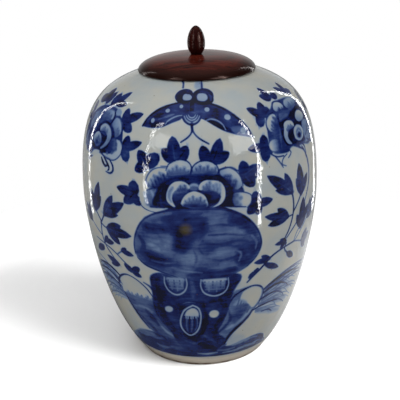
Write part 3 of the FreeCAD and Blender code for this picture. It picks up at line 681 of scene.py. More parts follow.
def side_rocks(brush):
    """The two pale humps beside the dark rock, toothed where their wash begins."""
    fill, line, comb = brush.fill, brush.line, brush.comb
    fill([(-48.6, 97), (-46.5, 91.5), (-45.6, 86), (-41.6, 74), (-38, 62), (-33.6, 51), (-25, 47), (-18, 46),
          (-20.6, 58), (-25, 72), (-27.2, 86), (-26, 97), (-36, 93)], 0.66, soft=2.4, step=3.4)
    fill([(-48.4, 96.5), (-47.4, 104.5), (-44.5, 110.6), (-40, 113.6), (-34.6, 111), (-29, 103.5),
          (-26.6, 95.5), (-26.4, 91.5), (-36, 91.5), (-45, 92)], 0.02)
    comb((-45.4, 88.5), (-26.8, 89), 0.6, 4.6, 15, 2.6, 0.58, lean=2)
    line([(-49, 95), (-48.6, 103), (-45.5, 110.8), (-40.4, 115), (-34.6, 112.6), (-29.4, 105.4), (-26.6, 97)],
         (0.9, 2.2, 2, 1.4, 1.5, 1.6, 1.2))
    line([(-30.4, 111.5), (-27, 108), (-25.5, 103)], (1.4, 2.6, 2.6), FULL)
    for points, widths, tone in (
            ([(-44, 86), (-37, 84), (-30, 85.6)], (2, 4, 2), 0.66),
            ([(-41, 79), (-35, 81), (-28.6, 78)], (2, 4, 2), 0.46),
            ([(-38, 70), (-34, 62), (-29.6, 54)], (2, 4.6, 2), 0.62),
            ([(-30, 78), (-27.6, 66), (-22.6, 54)], (2, 4, 2), 0.5),
            ([(-33, 78), (-30, 70), (-27, 62)], (3, 8, 3), 0.84),
            ([(-25, 60), (-22.6, 54), (-19, 49.6)], (1.6, 4.2, 3), 0.36),
            ([(-37, 66), (-33, 59), (-30, 52)], (3, 6, 3), 0.84),
            ([(-46, 90), (-43.4, 79), (-39.6, 66), (-35, 53)], (1.6, 2.6, 3.6, 2.2), 0.9)):
        line(points, widths, tone, soft=2.6, lays=True, step=3.4)
    fill([(14.8, 104), (18.6, 106), (24.5, 107.4), (29.6, 104.8), (32.4, 98), (32, 89), (29, 80),
          (26.6, 72.5),
          (21.6, 62.5), (16.4, 52.6), (12.8, 44), (8, 44), (5, 50), (7, 60), (10.5, 72), (13, 88)], 0.52,
         soft=2.2, step=3.4)
    fill([(19.4, 97), (21, 103), (26.5, 105.6), (30.6, 101.6), (31.4, 94), (30, 86), (27, 80.6), (24, 87),
          (19.6, 91.6)], 0.02, soft=1.6)
    fill([(12, 58), (17.4, 61), (24.6, 72), (27.6, 79), (24.5, 78), (17, 66)], 0.28, soft=3)
    fill([(14.8, 72), (16.6, 84), (20.6, 90), (24, 84), (22.6, 74), (17.6, 64)], 0.62, soft=4)
    fill([(15.6, 88), (17.6, 93.5), (21, 93), (23.6, 88), (19.6, 88)], 0.34, soft=3)
    for order in range(6):
        line([(18.6 + 1.4 * order, 93.6 - 2.2 * order), (17.8 + 1.3 * order, 86 - 2 * order)], (0.8, 1.8),
             MID, soft=1.4, lays=True)
    line([(13.2, 90), (15.6, 98.5), (19.6, 103.6), (25, 106.9), (29.8, 104.4), (32.4, 98), (32.2, 90),
          (31, 86.6)], (1.2, 2, 1.6, 1.3, 1.5, 1.4, 1.4, 0.8))
    line([(32.4, 92), (31, 84.6), (28.4, 79)], (1, 1.2, 0.8), FULL)
    line([(13, 84), (14.6, 72), (11.6, 62), (7.4, 54)], (1.6, 3.4, 3.4, 2), FULL, soft=2.4)
    line([(6.6, 53), (11, 47.4), (12.8, 41)], (2, 4, 3), FULL, soft=2.4)
    line([(27.4, 77.6), (25.6, 70.5), (21.2, 61.6), (17, 54), (14.4, 46), (12.8, 38)],
         (1.6, 2.8, 3.6, 4.2, 4, 3), INK, soft=2)


def ground(brush):
    """The painted ground round the foot, closed below by a line."""
    fill, line = brush.fill, brush.line
    top = [(-63, 17.6), (-58, 30), (-50, 40), (-42, 47), (-33, 50), (-22, 47), (-10, 44), (2, 45), (11, 41),
           (13, 35), (16, 33.5), (22, 35), (27, 38), (33, 40), (39, 38.6), (42.6, 34), (45.4, 27), (48.4, 21),
           (51, 17.6)]
    fill([top[0]] + top + [top[-1], (40, 17.8), (0, 18), (-40, 17.8)], 0.76, soft=2.4, step=3.6)
    fill([(13, 45), (15, 35), (20, 34), (27, 38), (26, 46), (18, 52)], 0.12, soft=6, step=3.4)
    fill([(-40, 26), (-34, 42), (-24, 46), (-10, 42), (6, 38), (8, 24), (-16, 22)], 0.8, soft=7, step=4)
    fill([(-62, 20), (-58, 30), (-53, 36), (-50, 30), (-53, 22)], 0.46, soft=5, step=4)
    fill([(-48, 38), (-44, 46), (-36, 48.6), (-31, 44), (-37, 38)], 0.5, soft=5, step=4)
    for points, widths, tone in (
            ([(-52, 36), (-44, 43.5), (-34, 46.5)], (2, 4.6, 2), 0.5),
            ([(24, 25), (31, 25.4), (39, 24)], (3, 5, 3), 0.4),
            ([(19, 33), (25, 35.6), (31, 38)], (3, 5, 2), 0.42),
            ([(39, 37), (43, 32), (46, 25)], (3, 5, 3), DEEP),
            ([(-48, 30), (-38, 37), (-28, 38)], (3, 6, 3), 0.74),
            ([(-40, 44), (-32, 41.5), (-24, 44.6)], (2, 5, 2), 0.54),
            ([(-48, 33), (-44.6, 35.6), (-41, 33)], (2, 4, 2), 0.9),
            ([(-56, 24), (-44, 27), (-32, 24)], (3, 5, 3), DEEP),
            ([(-34, 31), (-28, 28), (-22, 31.6)], (2, 3.4, 2), 0.56),
            ([(-26, 44), (-20, 36), (-14, 30)], (3, 8, 4), 0.82),
            ([(-24, 26), (-12, 24.4), (-1, 24)], (3, 6, 2), DEEP),
            ([(-17, 40), (-8, 37), (0, 39)], (3, 6, 3), 0.84),
            ([(-12, 31), (-2, 29), (7, 28)], (3, 6, 3), 0.9),
            ([(6, 31), (11, 33.6), (14, 36.4)], (3, 4.6, 2), 0.62),
            ([(-4.6, 24.4), (2, 23.4), (9, 24.6)], (1.4, 3.4, 1.4), 0.3),
            ([(9, 28), (15, 27), (21, 28.4)], (2, 4, 2), 0.5),
            ([(13, 22.6), (21, 23), (29, 24)], (1.4, 2.8, 1.4), 0.34),
            ([(24, 28.6), (30, 31.4), (36, 31)], (2, 4.6, 2), 0.72),
            ([(28, 34), (33, 37), (38, 35)], (1.4, 3, 1.4), 0.44),
            ([(33, 25), (39, 27.4), (44, 25)], (1.6, 4, 1.6), 0.46)):
        line(points, widths, tone, soft=2.6, lays=True, step=3.4)
    line([(36, 39.6), (41.6, 36), (45.6, 28), (50, 21.4)], (0.8, 1.8, 2.2, 1.2), FULL)
    line([(-66, 18.8), (-40, 18.4), (-16, 18.6), (4, 18.8), (24, 19), (45, 19.4), (60, 19.2)],
         (1, 2.6, 3, 2.4, 2, 2, 1), DEEP, step=3.6)


def grasses(brush):
    """Long blades of grass that lean away from the rocks on both sides."""
    line = brush.line
    for points, widths, tone in (
            ([(-46, 110), (-51, 115), (-58, 116.6), (-67, 113)], (2.2, 3, 2.2, 0.6), DEEP),
            ([(-47.6, 104), (-53, 109), (-60, 110), (-70, 104)], (2.4, 2.8, 2, 0.6), DEEP),
            ([(-48, 98), (-54, 102), (-62, 101.6), (-72, 95)], (2.2, 2.6, 1.8, 0.5), FULL),
            ([(-46.6, 92), (-54, 94.6), (-63, 91.5), (-72, 83)], (1.6, 2.2, 1.4, 0.4), MID),
            ([(-45.6, 86), (-53, 87), (-61, 82), (-67, 74)], (1.2, 1.8, 1.2, 0.4), MID),
            ([(-46, 100), (-50, 111), (-58, 120), (-68, 123)], (1, 1.6, 1.2, 0.4), MID),
            ([(33, 99), (38, 104), (45, 106.8), (54, 106), (64, 100)], (2.6, 3.2, 2.6, 1.6, 0.5), INK),
            ([(32.8, 94.6), (38, 98.6), (44, 99), (49, 95), (54, 88)], (2.8, 3.2, 2.4, 1.4, 0.5), INK),
            ([(31.6, 88), (37, 90.6), (42, 90.4), (47, 86), (51, 79)], (2.4, 2.6, 2, 1.2, 0.4), DEEP),
            ([(28, 77), (33, 79.8), (40, 80.4), (47, 77.6), (53, 70)], (1.8, 2.4, 1.8, 1, 0.4), DEEP),
            ([(34, 71.6), (39, 71), (43, 66)], (1.4, 2.2, 0.8), FULL),
            ([(34, 97), (41, 106.6), (50, 111), (61, 109.6), (73, 103)], (1.6, 2.4, 2, 1.2, 0.4), FULL)):
        line(points, widths, tone, step=3.2)
    # Quick paler strokes fill the tufts, laid fan-wise from the rocks
    for root, reach, rise, fall, count, tone in (
            ((-47.5, 103), -20, 12, 2, 5, 0.62), ((-47, 96), -25, 9, 6, 5, 0.55), ((-46.6, 89),
                                                                                   -21, 5, 9, 5, 0.5),
            ((-45.6, 85), -16, -1, 8, 3, THIN), ((33.6, 98), 34, 13, 0, 5, 0.66), ((33.6, 94),
                                                                                   38, 10, 5, 6, 0.58),
            ((32.4, 87), 32, 7, 9, 6, 0.55), ((31, 81), 28, 3, 10, 5, 0.5), ((29.6, 75), 22, -1, 8, 4, WASH)):
        for order in range(count):
            t = (order + 0.5) / count - 0.5
            far = reach * (1 - 0.5 * ((order * 3) % 4) / 3)
            height = rise + 7 * t
            line([(root[0], root[1] + 5 * t), (root[0] + far * 0.4, root[1] + height * 0.75),
                  (root[0] + far * 0.75, root[1] + height * 0.8 - fall * 0.3),
                  (root[0] + far, root[1] + height * 0.6 - fall)], (1.3, 1.8, 1.4, 0.4), tone, step=3.6)
    for points, width in (
            ([(-49, 105), (-57, 110), (-66, 109)], 9), ([(-48.6, 96), (-58, 99), (-68, 95)], 9),
            ([(-48, 88), (-56, 87), (-64, 80)], 7), ([(35, 99), (45, 106), (57, 106)], 9),
            ([(35, 92), (45, 94), (57, 88)], 13), ([(33, 83), (42, 82), (54, 74)], 12),
            ([(32, 73), (40, 70), (50, 62)], 9)):
        line(points, (width * 0.5, width, width * 0.4), 0.3, soft=5, step=4)


def sprig_leaf(brush, stalk, tips, widths, tone=DEEP):
    """A three-pointed leaf that opens from the end of its stalk."""
    for tip, width in zip(tips, widths):
        brush.lobe(stalk, tip, width, tone, point=0.12)


def sprigs(brush):
    """The leafy sprays that rise on both sides of the great rock."""
    line = brush.line
    stems = (
        ([(-45, 124), (-49, 131), (-53, 139), (-54.4, 148), (-54, 157), (-53.6, 163), (-56, 168),
          (-58.4, 174)], (1.2, 1.6, 1.8, 1.8, 1.8, 1.8, 1.6, 1.8), FULL),
        ([(-54.2, 160), (-51.6, 167), (-49.4, 174)], (1.6, 1.7, 2), DEEP),
        ([(-54, 161.4), (-51, 158.6), (-47, 158)], (1.4, 1.4, 1.8), DEEP),
        ([(-54.4, 148), (-58.6, 152), (-64, 158)], (1.4, 1.5, 1), MID),
        ([(-62, 141.6), (-56, 140.6), (-50, 138.6), (-45, 134.6), (-40.6, 129), (-37, 124)],
         (0.8, 1.3, 1.4, 1.5, 1.6, 1.4), FULL),
        ([(-54, 140), (-51.6, 144), (-49, 146.6)], (1.4, 1.6, 2), DEEP),
        ([(-44, 135), (-41, 139), (-37.6, 141.6)], (1.2, 1.4, 1.6), FULL),
        ([(-55.4, 137), (-57.6, 133), (-61, 130)], (1.3, 1.4, 1.2), FULL),
        ([(22, 112), (25, 117.6), (28.4, 123), (31.6, 128.6), (34, 132.6), (38.4, 136.4), (44, 138.6),
          (50, 139.6)], (1.8, 2, 2.2, 2.2, 2, 1.8, 1.6, 1.4), DEEP),
        ([(50, 139.6), (54, 137), (58, 134)], (1.2, 1.5, 1.4), FULL),
        ([(50, 139.4), (54, 146), (58, 153), (61, 158)], (1.2, 1.3, 1.3, 1.2), MID),
        ([(43.4, 147), (46.6, 152.4), (50, 158), (51.4, 161)], (1.3, 1.4, 1.4, 1.3), FULL),
        ([(41.6, 146), (44.6, 155), (46.6, 166), (47.2, 176), (46.6, 185), (45.4, 192)],
         (1.6, 1.6, 1.7, 1.7, 1.8, 2.2), DEEP),
        ([(47.4, 171), (50.4, 177), (53.2, 184)], (1.5, 1.5, 2), DEEP),
        ([(46.8, 168), (43, 167.6), (40, 168)], (1.2, 1.3, 1.6), DEEP),
        ([(43.6, 142), (42.8, 136), (45.6, 130)], (1.3, 1.4, 1.5), DEEP),
        ([(49, 138.6), (51.4, 148), (55, 153.6)], (1, 1.3, 1.4), MID),
        ([(57, 175), (60, 185), (61.8, 197), (61.6, 210), (59, 221), (57, 226)], (1.4, 1.8, 2, 2, 1.8, 1.2),
         FULL),
    )
    for points, widths, tone in stems:
        line(points, widths, tone, step=3)
    for stalk, tips, widths in (
            ((-58.2, 172), ((-53.8, 199), (-52.4, 186.6), (-61.4, 189)), (11, 9, 9)),
            ((-50, 171.6), ((-43.6, 191.6), (-36.6, 187.6), (-40.4, 175)), (9.5, 11, 6.5)),
            ((-48.6, 158), ((-39.4, 165.4), (-33.6, 158), (-41.2, 146.6)), (9.5, 10.5, 9.5)),
            ((46, 189.4), ((31.4, 210.4), (41.6, 208.4), (35.6, 196)), (11, 8.5, 7)),
            ((53.4, 184.4), ((52.4, 211.6), (59.6, 199.4), (49.4, 199.6)), (12, 8.5, 8)),
            ((54.2, 151.6), ((55.4, 178.6), (60.2, 169), (50, 165)), (12, 8.5, 8)),
            ((43, 168), ((29.6, 174.6), (36.6, 178.6), (31.4, 165.6)), (8.5, 8, 8.5)),
            ((33.4, 131.4), ((25, 131.4), (28.6, 136.8)), (6.5, 5.5)),
            ((45.4, 130.4), ((50.6, 123.4),), (6.5,)),
            ((43, 144), ((36, 144.4), (39, 147.6), (39.6, 138.6)), (5, 5, 5)),
            ((31.6, 126.4), ((40, 119), (34, 125)), (6.5, 5)),
            ((25.4, 121), ((22.6, 116), (27.6, 124.6)), (6, 5)),
            ((-52.6, 144), ((-45.6, 145.4), (-49.6, 149.8)), (6.5, 5)),
            ((-40.6, 140), ((-33.6, 138.4), (-37.6, 143.8)), (6, 5)),
            ((-55.4, 136), ((-63, 128.6), (-57.6, 131)), (7.5, 5.5)),
            ((-44.6, 123.4), ((-53.6, 127.6), (-51, 120.6)), (7, 5.5)),
            ((-36, 120.6), ((-31.4, 126.4), (-40.6, 126.4), (-31, 117)), (7.5, 7, 6))):
        sprig_leaf(brush, stalk, tips, widths)
    for stalk, tips, widths in (
            ((-64, 158), ((-70.4, 171), (-66, 174), (-72, 162)), (9, 7, 7)),
            ((58, 134), ((62, 144), (66.6, 136.6), (62.6, 126)), (9, 9, 8)),
            ((61, 157), ((63.6, 173.6), (70.6, 176), (69, 163)), (8, 9, 9))):
        sprig_leaf(brush, stalk, tips, widths, tone=FULL)
    for points in ([(-57.6, 176), (-54.6, 191)], [(-49.4, 173.4), (-44.4, 186)], [(-47, 158.4),
                                                                                  (-37.6, 158.6)],
                   [(45, 191), (35.6, 205)], [(53.4, 187), (52.8, 204)], [(54.4, 155), (55.4, 171)],
                   [(41.4, 168.6), (33, 172.6)]):
        line(points, (0.9, 0.4), FULL, lays=True, step=3)


def left_peony(brush):
    """The peony half seen at the left of the shoulder."""
    fill, line, comb, dot, lobe = brush.fill, brush.line, brush.comb, brush.dot, brush.lobe
    for base, tip, width in (
            ((-41, 259), (-42, 270), 10), ((-40.6, 260), (-31, 267.4), 9.5), ((-40.6, 257), (-35, 251.6), 10),
            ((-37, 235.6), (-35.6, 246.4), 9.5), ((-37, 236), (-28, 243), 8),
            ((-37, 235), (-35, 226.4), 10.5), ((-55, 272.6), (-49.8, 287), 11.5),
            ((-57, 271), (-58.6, 282), 12.5), ((-54, 273), (-45.6, 273.6), 7.5), ((-64.6, 271), (-64, 281),
                                                                                  12),
            ((-68, 272), (-72, 284), 13), ((-69, 271), (-77, 273), 10), ((-74, 258), (-80, 265), 8),
            ((-74, 255), (-78, 250), 8)):
        lobe(base, tip, width, point=0.2)
    fill([(-74, 232), (-75, 245), (-72, 258), (-66, 266), (-58, 269), (-50, 268), (-44, 261), (-40, 250),
          (-39, 239), (-41, 229), (-46, 224), (-55, 226), (-62, 222), (-70, 224)], FULL, soft=1.6, step=3)
    fill([(-47.4, 260), (-44.4, 259), (-41.8, 254), (-41, 248.6), (-42.6, 244), (-46, 244), (-48.4, 249),
          (-48.8, 255)], 0.24, soft=1.4, fade=((-42.4, 254), 0.62, (-47, 246.6)))
    line([(-47, 261.4), (-43.4, 260), (-40.6, 254), (-40, 247)], (0.9, 1.2, 1.4, 1))
    fill([(-50, 263.6), (-49.6, 268.6), (-46.4, 267.6), (-44.8, 263.6), (-47.4, 262)], 0.34, soft=1.8)
    fill([(-60, 257), (-59.6, 262.6), (-56, 265.4), (-51.6, 265), (-49.8, 262), (-50.2, 258), (-53.6, 255.6),
          (-57.6, 255)], 0.3, soft=1.8, fade=((-52.6, 264), 0.7, (-57, 255.6)))
    comb((-58.6, 255.6), (-51.4, 256.6), 0.6, 3.6, 5, 2.6, 0.66)
    line([(-49.8, 254.6), (-49, 259.6), (-50.4, 264.6)], (1.4, 2, 1.2), INK)
    comb((-46.4, 243.6), (-42, 246.6), 0, 4.4, 4, 2.6, 0.56)
    fill([(-71, 244), (-71, 254), (-67.4, 260), (-62, 262), (-61, 256), (-64, 247), (-67, 240)],
         0.4, soft=2.4, fade=((-70, 254), 0.66, (-63, 250)))
    fill([(-72, 228), (-72.6, 236), (-69, 241), (-65, 238), (-63.6, 231), (-66, 226)], 0.5, soft=2.4,
         fade=((-71, 233), 0.7, (-65, 233)))
    for points in ([(-72.6, 226), (-73, 240), (-70, 255)], [(-69, 222), (-69.6, 234), (-67.6, 244)],
                   [(-66.4, 224), (-67.4, 238), (-64.4, 252)], [(-74.4, 232), (-74.6, 244), (-72, 256)]):
        line(points, (1.6, 3, 1.4), 0.84, soft=1.8, lays=True, step=3.4)
    fill([(-62.6, 231), (-61, 246), (-56, 254), (-49, 253), (-45, 246), (-44.6, 236), (-48, 228),
          (-55, 226.6)], 0.96, soft=2)
    fill([(-57.6, 249), (-54.6, 252.4), (-50.6, 251.4), (-47.6, 246.6), (-47, 240.6), (-49.6, 234),
          (-53.6, 229.6),
          (-54.4, 230.4), (-51.6, 235), (-50, 240), (-50.6, 244), (-54, 245.4), (-57, 244.6)], 0.18, soft=1.4,
         fade=((-54, 252), 0.4, (-50, 238)), step=2.2)
    comb((-56.6, 244.4), (-50.4, 243.4), 0.4, 3.4, 5, 2.6, 0.52)
    line([(-57, 244), (-53, 245), (-50.6, 242)], (1.4, 1.6, 1), FULL)
    fill([(-62.6, 236), (-61, 241.4), (-58, 243.8), (-55, 241), (-54, 236), (-55.4, 232), (-59, 230.6)], 0.12,
         soft=1.4, fade=((-59.6, 242), 0.66, (-57.6, 233)))
    comb((-60.6, 232.6), (-55.4, 233.6), 0.4, 4.4, 4, 2.6, 0.7)
    dot((-58, 234.6), 4, 4, 0.9, soft=2)
    fill([(-47.6, 224.8), (-51.6, 226.8), (-46, 228.6), (-43, 231.6), (-42, 236), (-43, 241.6), (-40.2, 241),
          (-38.9, 235), (-40, 229), (-43, 224.8)], 0.14, soft=1.4, step=2.2)
    fill([(-50, 229), (-45, 229), (-42, 233), (-41.8, 238), (-43.4, 242), (-46, 242), (-48, 236)],
         0.56, soft=2, fade=((-43, 236), DEEP, (-48, 231)))
    for place in ((-42.4, 238), (-42.2, 233.6), (-44.6, 229.8), (-48, 228.2)):
        dot(place, 3.4, 3.2, 0.62, soft=1.6)
    line([(-42, 242.4), (-39.2, 241.4), (-38.2, 235), (-39.6, 228.4), (-43, 223.8), (-47.6, 223.6),
          (-52, 225.6)], (0.8, 1.1, 1.2, 1.1, 1.1, 1.2, 0.9), FULL)
    line([(-65, 216.6), (-60.4, 221.6), (-56, 226)], (2.6, 2, 1.6))
    fill([(-63, 221), (-59, 227), (-54, 228), (-56, 224.6), (-60, 221)], 0.1, soft=1.4)
    line([(-64, 222), (-60.6, 227), (-55, 229.6)], (1, 1.2, 1), FULL)
    line([(-52, 223), (-50.6, 219.4), (-48.4, 216.6), (-46.8, 218.6)], (1.4, 2.8, 2.4, 1.4), INK)
    line([(-50, 224), (-47.8, 220.6), (-45.6, 216), (-46.6, 213.4)], (1.4, 2.4, 2.2, 1.4), INK)
    line([(-46, 223.6), (-43.6, 219.6), (-43, 214.6), (-45, 211.6), (-48, 212)], (1.2, 2, 2.2, 1.8, 1))


def right_peony(brush):
    """The peony half seen at the right of the shoulder."""
    fill, line, comb, dot, lobe = brush.fill, brush.line, brush.comb, brush.dot, brush.lobe
    for base, tip, width in (
            ((34.6, 263), (28, 270.6), 9), ((36, 262), (37.6, 273.6), 12), ((34, 262), (31.6, 254.4), 11),
            ((38.6, 262), (40.6, 268), 8), ((31.4, 235), (32, 244.6), 10), ((31, 236), (23.2, 236.2), 8),
            ((31.4, 234), (31.6, 224.6), 11), ((32, 234), (35.4, 230), 8), ((47, 276), (41.4, 280.4), 9),
            ((48, 277), (46, 289.6), 10), ((50, 276), (55, 278.4), 8), ((66, 276), (60, 284), 8),
            ((67, 276), (70, 287), 9), ((68, 274), (74, 275), 8), ((78, 262), (84, 268), 9),
            ((78, 256), (84, 250), 9)):
        lobe(base, tip, width, point=0.25)
    fill([(36, 256), (38, 262), (42, 266), (47, 271), (54, 272), (62, 271), (70, 266), (75, 256), (76, 242),
          (73, 230), (66, 224), (58, 227), (50, 226), (42, 226), (36, 229), (34.4, 240)],
          FULL, soft=1.6, step=3)
    fill([(44.4, 265), (46.4, 269.8), (49.6, 270.8), (52.6, 268.4), (53, 264.6), (50, 261.6), (46.4, 261.8)],
         0.04, soft=1.3, fade=((48.6, 269), THIN, (48.6, 262)))
    line([(43.8, 265), (46, 270.6), (49.8, 271.8), (53.2, 269), (54, 264)], (0.8, 1.2, 1.2, 1.2, 0.9))
    fill([(54.6, 265), (57, 269.4), (63, 270), (68, 266.4), (67, 262.6), (60, 262), (56, 261.6)],
         0.18, soft=1.5, fade=((61, 269), WASH, (61, 262)))
    fill([(35.8, 251.4), (36.6, 256.6), (39.6, 260.6), (42.6, 261.2), (43.4, 258), (40.6, 253.4),
          (39.6, 248.6), (37.4, 246.6)], 0.06, soft=1.4)
    comb((38.6, 246), (43.6, 257), -0.4, 3.4, 6, 2.8, 0.7, aside=-2.4)
    comb((46, 259.6), (52, 259.4), 0.4, 3.4, 5, 2.6, FULL)
    comb((56, 260), (66, 260), 0.4, 4, 6, 2.6, 0.56)
    for points, tone in (
            ([(44.6, 238), (45, 248), (48, 254)], 0.6), ([(41.6, 232), (42.4, 242), (44, 250)], 0.62),
            ([(62.6, 243), (66, 242), (69.4, 245)], 0.4), ([(62.8, 238), (66.4, 236.4), (70, 239)], 0.46),
            ([(61.6, 232.6), (65.6, 231), (69.6, 233)], 0.5), ([(54, 254), (58, 258), (64, 259)], 0.66),
            ([(50, 256), (54, 259), (58, 260)], 0.6), ([(62, 227), (66, 229.4), (71, 231)], 0.3)):
        line(points, (1.6, 2.8, 1.4), tone, soft=1.8, lays=True, step=3)
    line([(35.4, 246.6), (35.4, 254), (38, 260.4), (42.6, 262.4)], (1, 1.2, 1.1, 0.9))
    fill([(34.2, 234.6), (35, 238.4), (37.6, 240), (41, 238), (41.4, 232.6), (38.4, 230), (35.4, 231)], 0.08,
         soft=1.3, fade=((35.4, 234), FULL, (40.4, 234)))
    line([(33.8, 231), (34.2, 238), (37.4, 241.2), (41, 240.6)], (0.8, 1.1, 1.1, 0.8), FULL)
    fill([(44.6, 258), (50, 260.6), (58, 258), (66, 260), (70, 252), (70, 240), (66, 231), (58, 229),
          (50, 229.6), (44.4, 234), (43.4, 246)], 0.97, soft=2)
    fill([(45, 253.4), (46, 259.6), (51, 261.4), (56.4, 258.6), (52, 255), (48, 254)], MID, soft=2.2)
    fill([(62.4, 229.4), (61.8, 238), (63, 245), (68, 246), (71.6, 241), (71, 231), (66.4, 226.6)],
         0.4, soft=2.6)
    line([(63.4, 233), (66.6, 236), (70, 241)], (1.4, 2.2, 1.2), 0.7, soft=1.8, lays=True)
    fill([(46.2, 246.6), (47, 250.4), (50.4, 252), (53.8, 250), (54.6, 245.4), (50, 244.6), (48, 241.6),
          (47.4, 237), (49.4, 231.6), (47.4, 231.8), (45.4, 235), (44.8, 241)], 0.1, soft=1.1,
         fade=((50.6, 251), THIN, (46.4, 233)), step=2.2)
    comb((47.4, 243.4), (53.4, 244.6), 0.4, 2.6, 6, 1.8, FULL)
    fill([(58.4, 250.4), (60, 254.6), (64, 256.2), (68, 253.4), (68.4, 248.6), (64, 246.4), (60, 247)], 0.06,
         soft=1.3, fade=((64, 255), THIN, (63, 247)))
    fill([(52.4, 238.4), (53.6, 243), (57, 245.4), (60.6, 243), (62, 238), (60.4, 233), (56.6, 231),
          (53.4, 233.6)], 0.14, soft=1.4)
    fill([(54.4, 235), (54.6, 240), (57.6, 242.4), (60, 239.4), (59.4, 234), (56.6, 233)], 0.56, soft=2)
    line([(55.4, 238.6), (57.4, 240), (59, 238)], (1, 1.6, 1), 0.3, soft=1.4, lays=True)
    dot((57, 236), 6, 5, INK, soft=1.8)
    fill([(46, 226), (49, 229), (53, 226.4), (57, 219), (54, 214), (49, 217), (46, 221)], 0.03, soft=1.6)
    line([(34.6, 228.4), (37.6, 225), (42, 224)], (1.4, 1.2, 1.2))
    line([(45.4, 229), (47.4, 224.6), (45, 221)], (1, 1.4, 1), FULL)
    line([(50.4, 229.6), (54.6, 226), (58.6, 221.4), (60.4, 214)], (1.6, 2, 1.8, 1.4))
    line([(57, 229), (59.6, 224.6), (60.6, 218)], (1.4, 1.6, 1.2))
    line([(64, 229), (68, 225.6), (72, 222.6)], (1.2, 1.8, 1), FULL)
    line([(60.8, 215), (61.6, 205)], (1.8, 1.8), FULL)
    line([(44.4, 224.6), (41.6, 222), (40.4, 217.4), (43, 214.6)], (1, 1.2, 1.2, 0.8), FULL)
    line([(36.6, 226), (39, 220), (41, 214)], (1.2, 1.4, 1), FULL)


def paint(brush):
    """The whole picture, painted once on the front and once more on the back."""
    for turn, sway in ((0, 0), (180, 1.3)):
        brush.turn, brush.sway = turn, sway
        ground(brush)
        side_rocks(brush)
        grasses(brush)
        sprigs(brush)
        side_leaves(brush)
        main_peony(brush)
        great_rock(brush)
        dark_rock(brush)
        left_peony(brush)
        right_peony(brush)
        butterfly(brush)


# From the painting to the jar's mesh

def wrapped(brush):
    """The touches, with those that reach past the seam at the side painted on its other side too."""
    half = 180 * brush.degree
    for shape, tone, lays, channel in brush.touches:
        line = shape.outline if isinstance(shape, Fill) else shape.line
        for turns in (-1, 0, 1):
            shift = np.array([turns * 2 * half, 0])
            reach = shape.soft + (0 if isinstance(shape, Fill) else shape.halves.max())
            if (line[:, 0] + shift[0]).max() + reach < -half or (line[:, 0] + shift[0]).min() - reach > half:
                continue
            if isinstance(shape, Fill):
                moved = Fill(shape.outline + shift, shape.soft)
            else:
                moved = Stroke(shape.line + shift, shape.halves, shape.soft)
            shifted = tone
            if isinstance(tone, tuple):
                shifted = (tone[0], tone[1] + shift, tone[2], tone[3] + shift)
            yield moved, shifted, lays, channel


def tones(tone, places):
    """How dark a touch is at each place: the same all over, or fading from one place to another."""
    if not isinstance(tone, tuple):
        return tone
    first, start, last, end = tone
    reach = end - start
    t = np.clip(((places - start) @ reach) / (reach @ reach), 0, 1)
    return first + (last - first) * t


def fired(touches, places):
    """Cobalt, haze and stain at each place, each touch laid over the ones before it."""
    layers = {name: np.zeros(len(places)) for name in ("cobalt", "haze", "stain")}
    order = np.argsort(places[:, 0])
    across = places[order, 0]
    haze_reach = 5.0
    for shape, tone, lays, channel in touches:
        rim = shape.rows()[0]
        low, high = rim.min(0) - haze_reach, rim.max(0) + haze_reach
        near = order[np.searchsorted(across, low[0]):np.searchsorted(across, high[0])]
        near = near[(places[near, 1] > low[1]) & (places[near, 1] < high[1])]
        if len(near) == 0:
            continue
        margin = shape.margin(places[near])
        cover = np.clip(0.5 + margin / shape.soft, 0, 1)
        amount = tones(tone, places[near])
        layer = layers[channel]
        if lays:
            layer[near] += (amount - layer[near]) * cover
        else:
            layer[near] += np.maximum(amount - layer[near], 0) * cover
        if channel == "cobalt":
            haze = layers["haze"][near]
            if lays:
                haze += (amount - haze) * cover
            bleed = np.clip(1 + margin / haze_reach, 0, 1) ** 2 * amount
            layers["haze"][near] = np.maximum(haze, bleed)
    return layers


def unrolled_mesh(touches, wall, sizes):
    """The painted wall, unrolled: triangles whose edges follow every touch of the brush."""
    half = 180 * wall.degree
    low, high = wall.glaze_start, wall.glaze_end
    grid = sizes.grid / MM
    verts, edges = [], []

    def row(points, closed):
        first = len(verts)
        verts.extend(Vector(p) for p in points)
        edges.extend((first + k, first + k + 1) for k in range(len(points) - 1))
        if closed:
            edges.append((len(verts) - 1, first))

    columns = round(math.tau / sizes.column_angle)
    across = np.linspace(-half, half, columns + 1)
    upward = np.linspace(low, high, math.ceil((high - low) / grid) + 1)
    for y in (low, high):
        row([(x, y) for x in across], False)
    for x in (-half, half):
        row([(x, y) for y in upward], False)
    for shape, *_ in touches:
        for ring in shape.rows():
            row(ring, True)
    near = KDTree(len(verts))
    for order, vert in enumerate(verts):
        near.insert((vert.x, vert.y, 0), order)
    near.balance()
    for y in upward[1:-1]:
        for x in across[1:-1]:
            if near.find((x, y, 0))[2] > grid * 0.45:
                verts.append(Vector((x, y)))
    flat, _, faces, _, _, _ = delaunay_2d_cdt(verts, edges, [], 0, 1e-4, True)
    flat = np.array([(v.x, v.y) for v in flat])
    faces = np.array([f for f in faces if len(f) == 3])
    middles = flat[faces].mean(1)
    inside = ((abs(middles[:, 0]) < half) & (middles[:, 1] > low) & (middles[:, 1] < high))
    faces = faces[inside]
    used = np.unique(faces)
    renumber = np.zeros(len(flat), int)
    renumber[used] = np.arange(len(used))
    return flat[used], renumber[faces]


# Materials

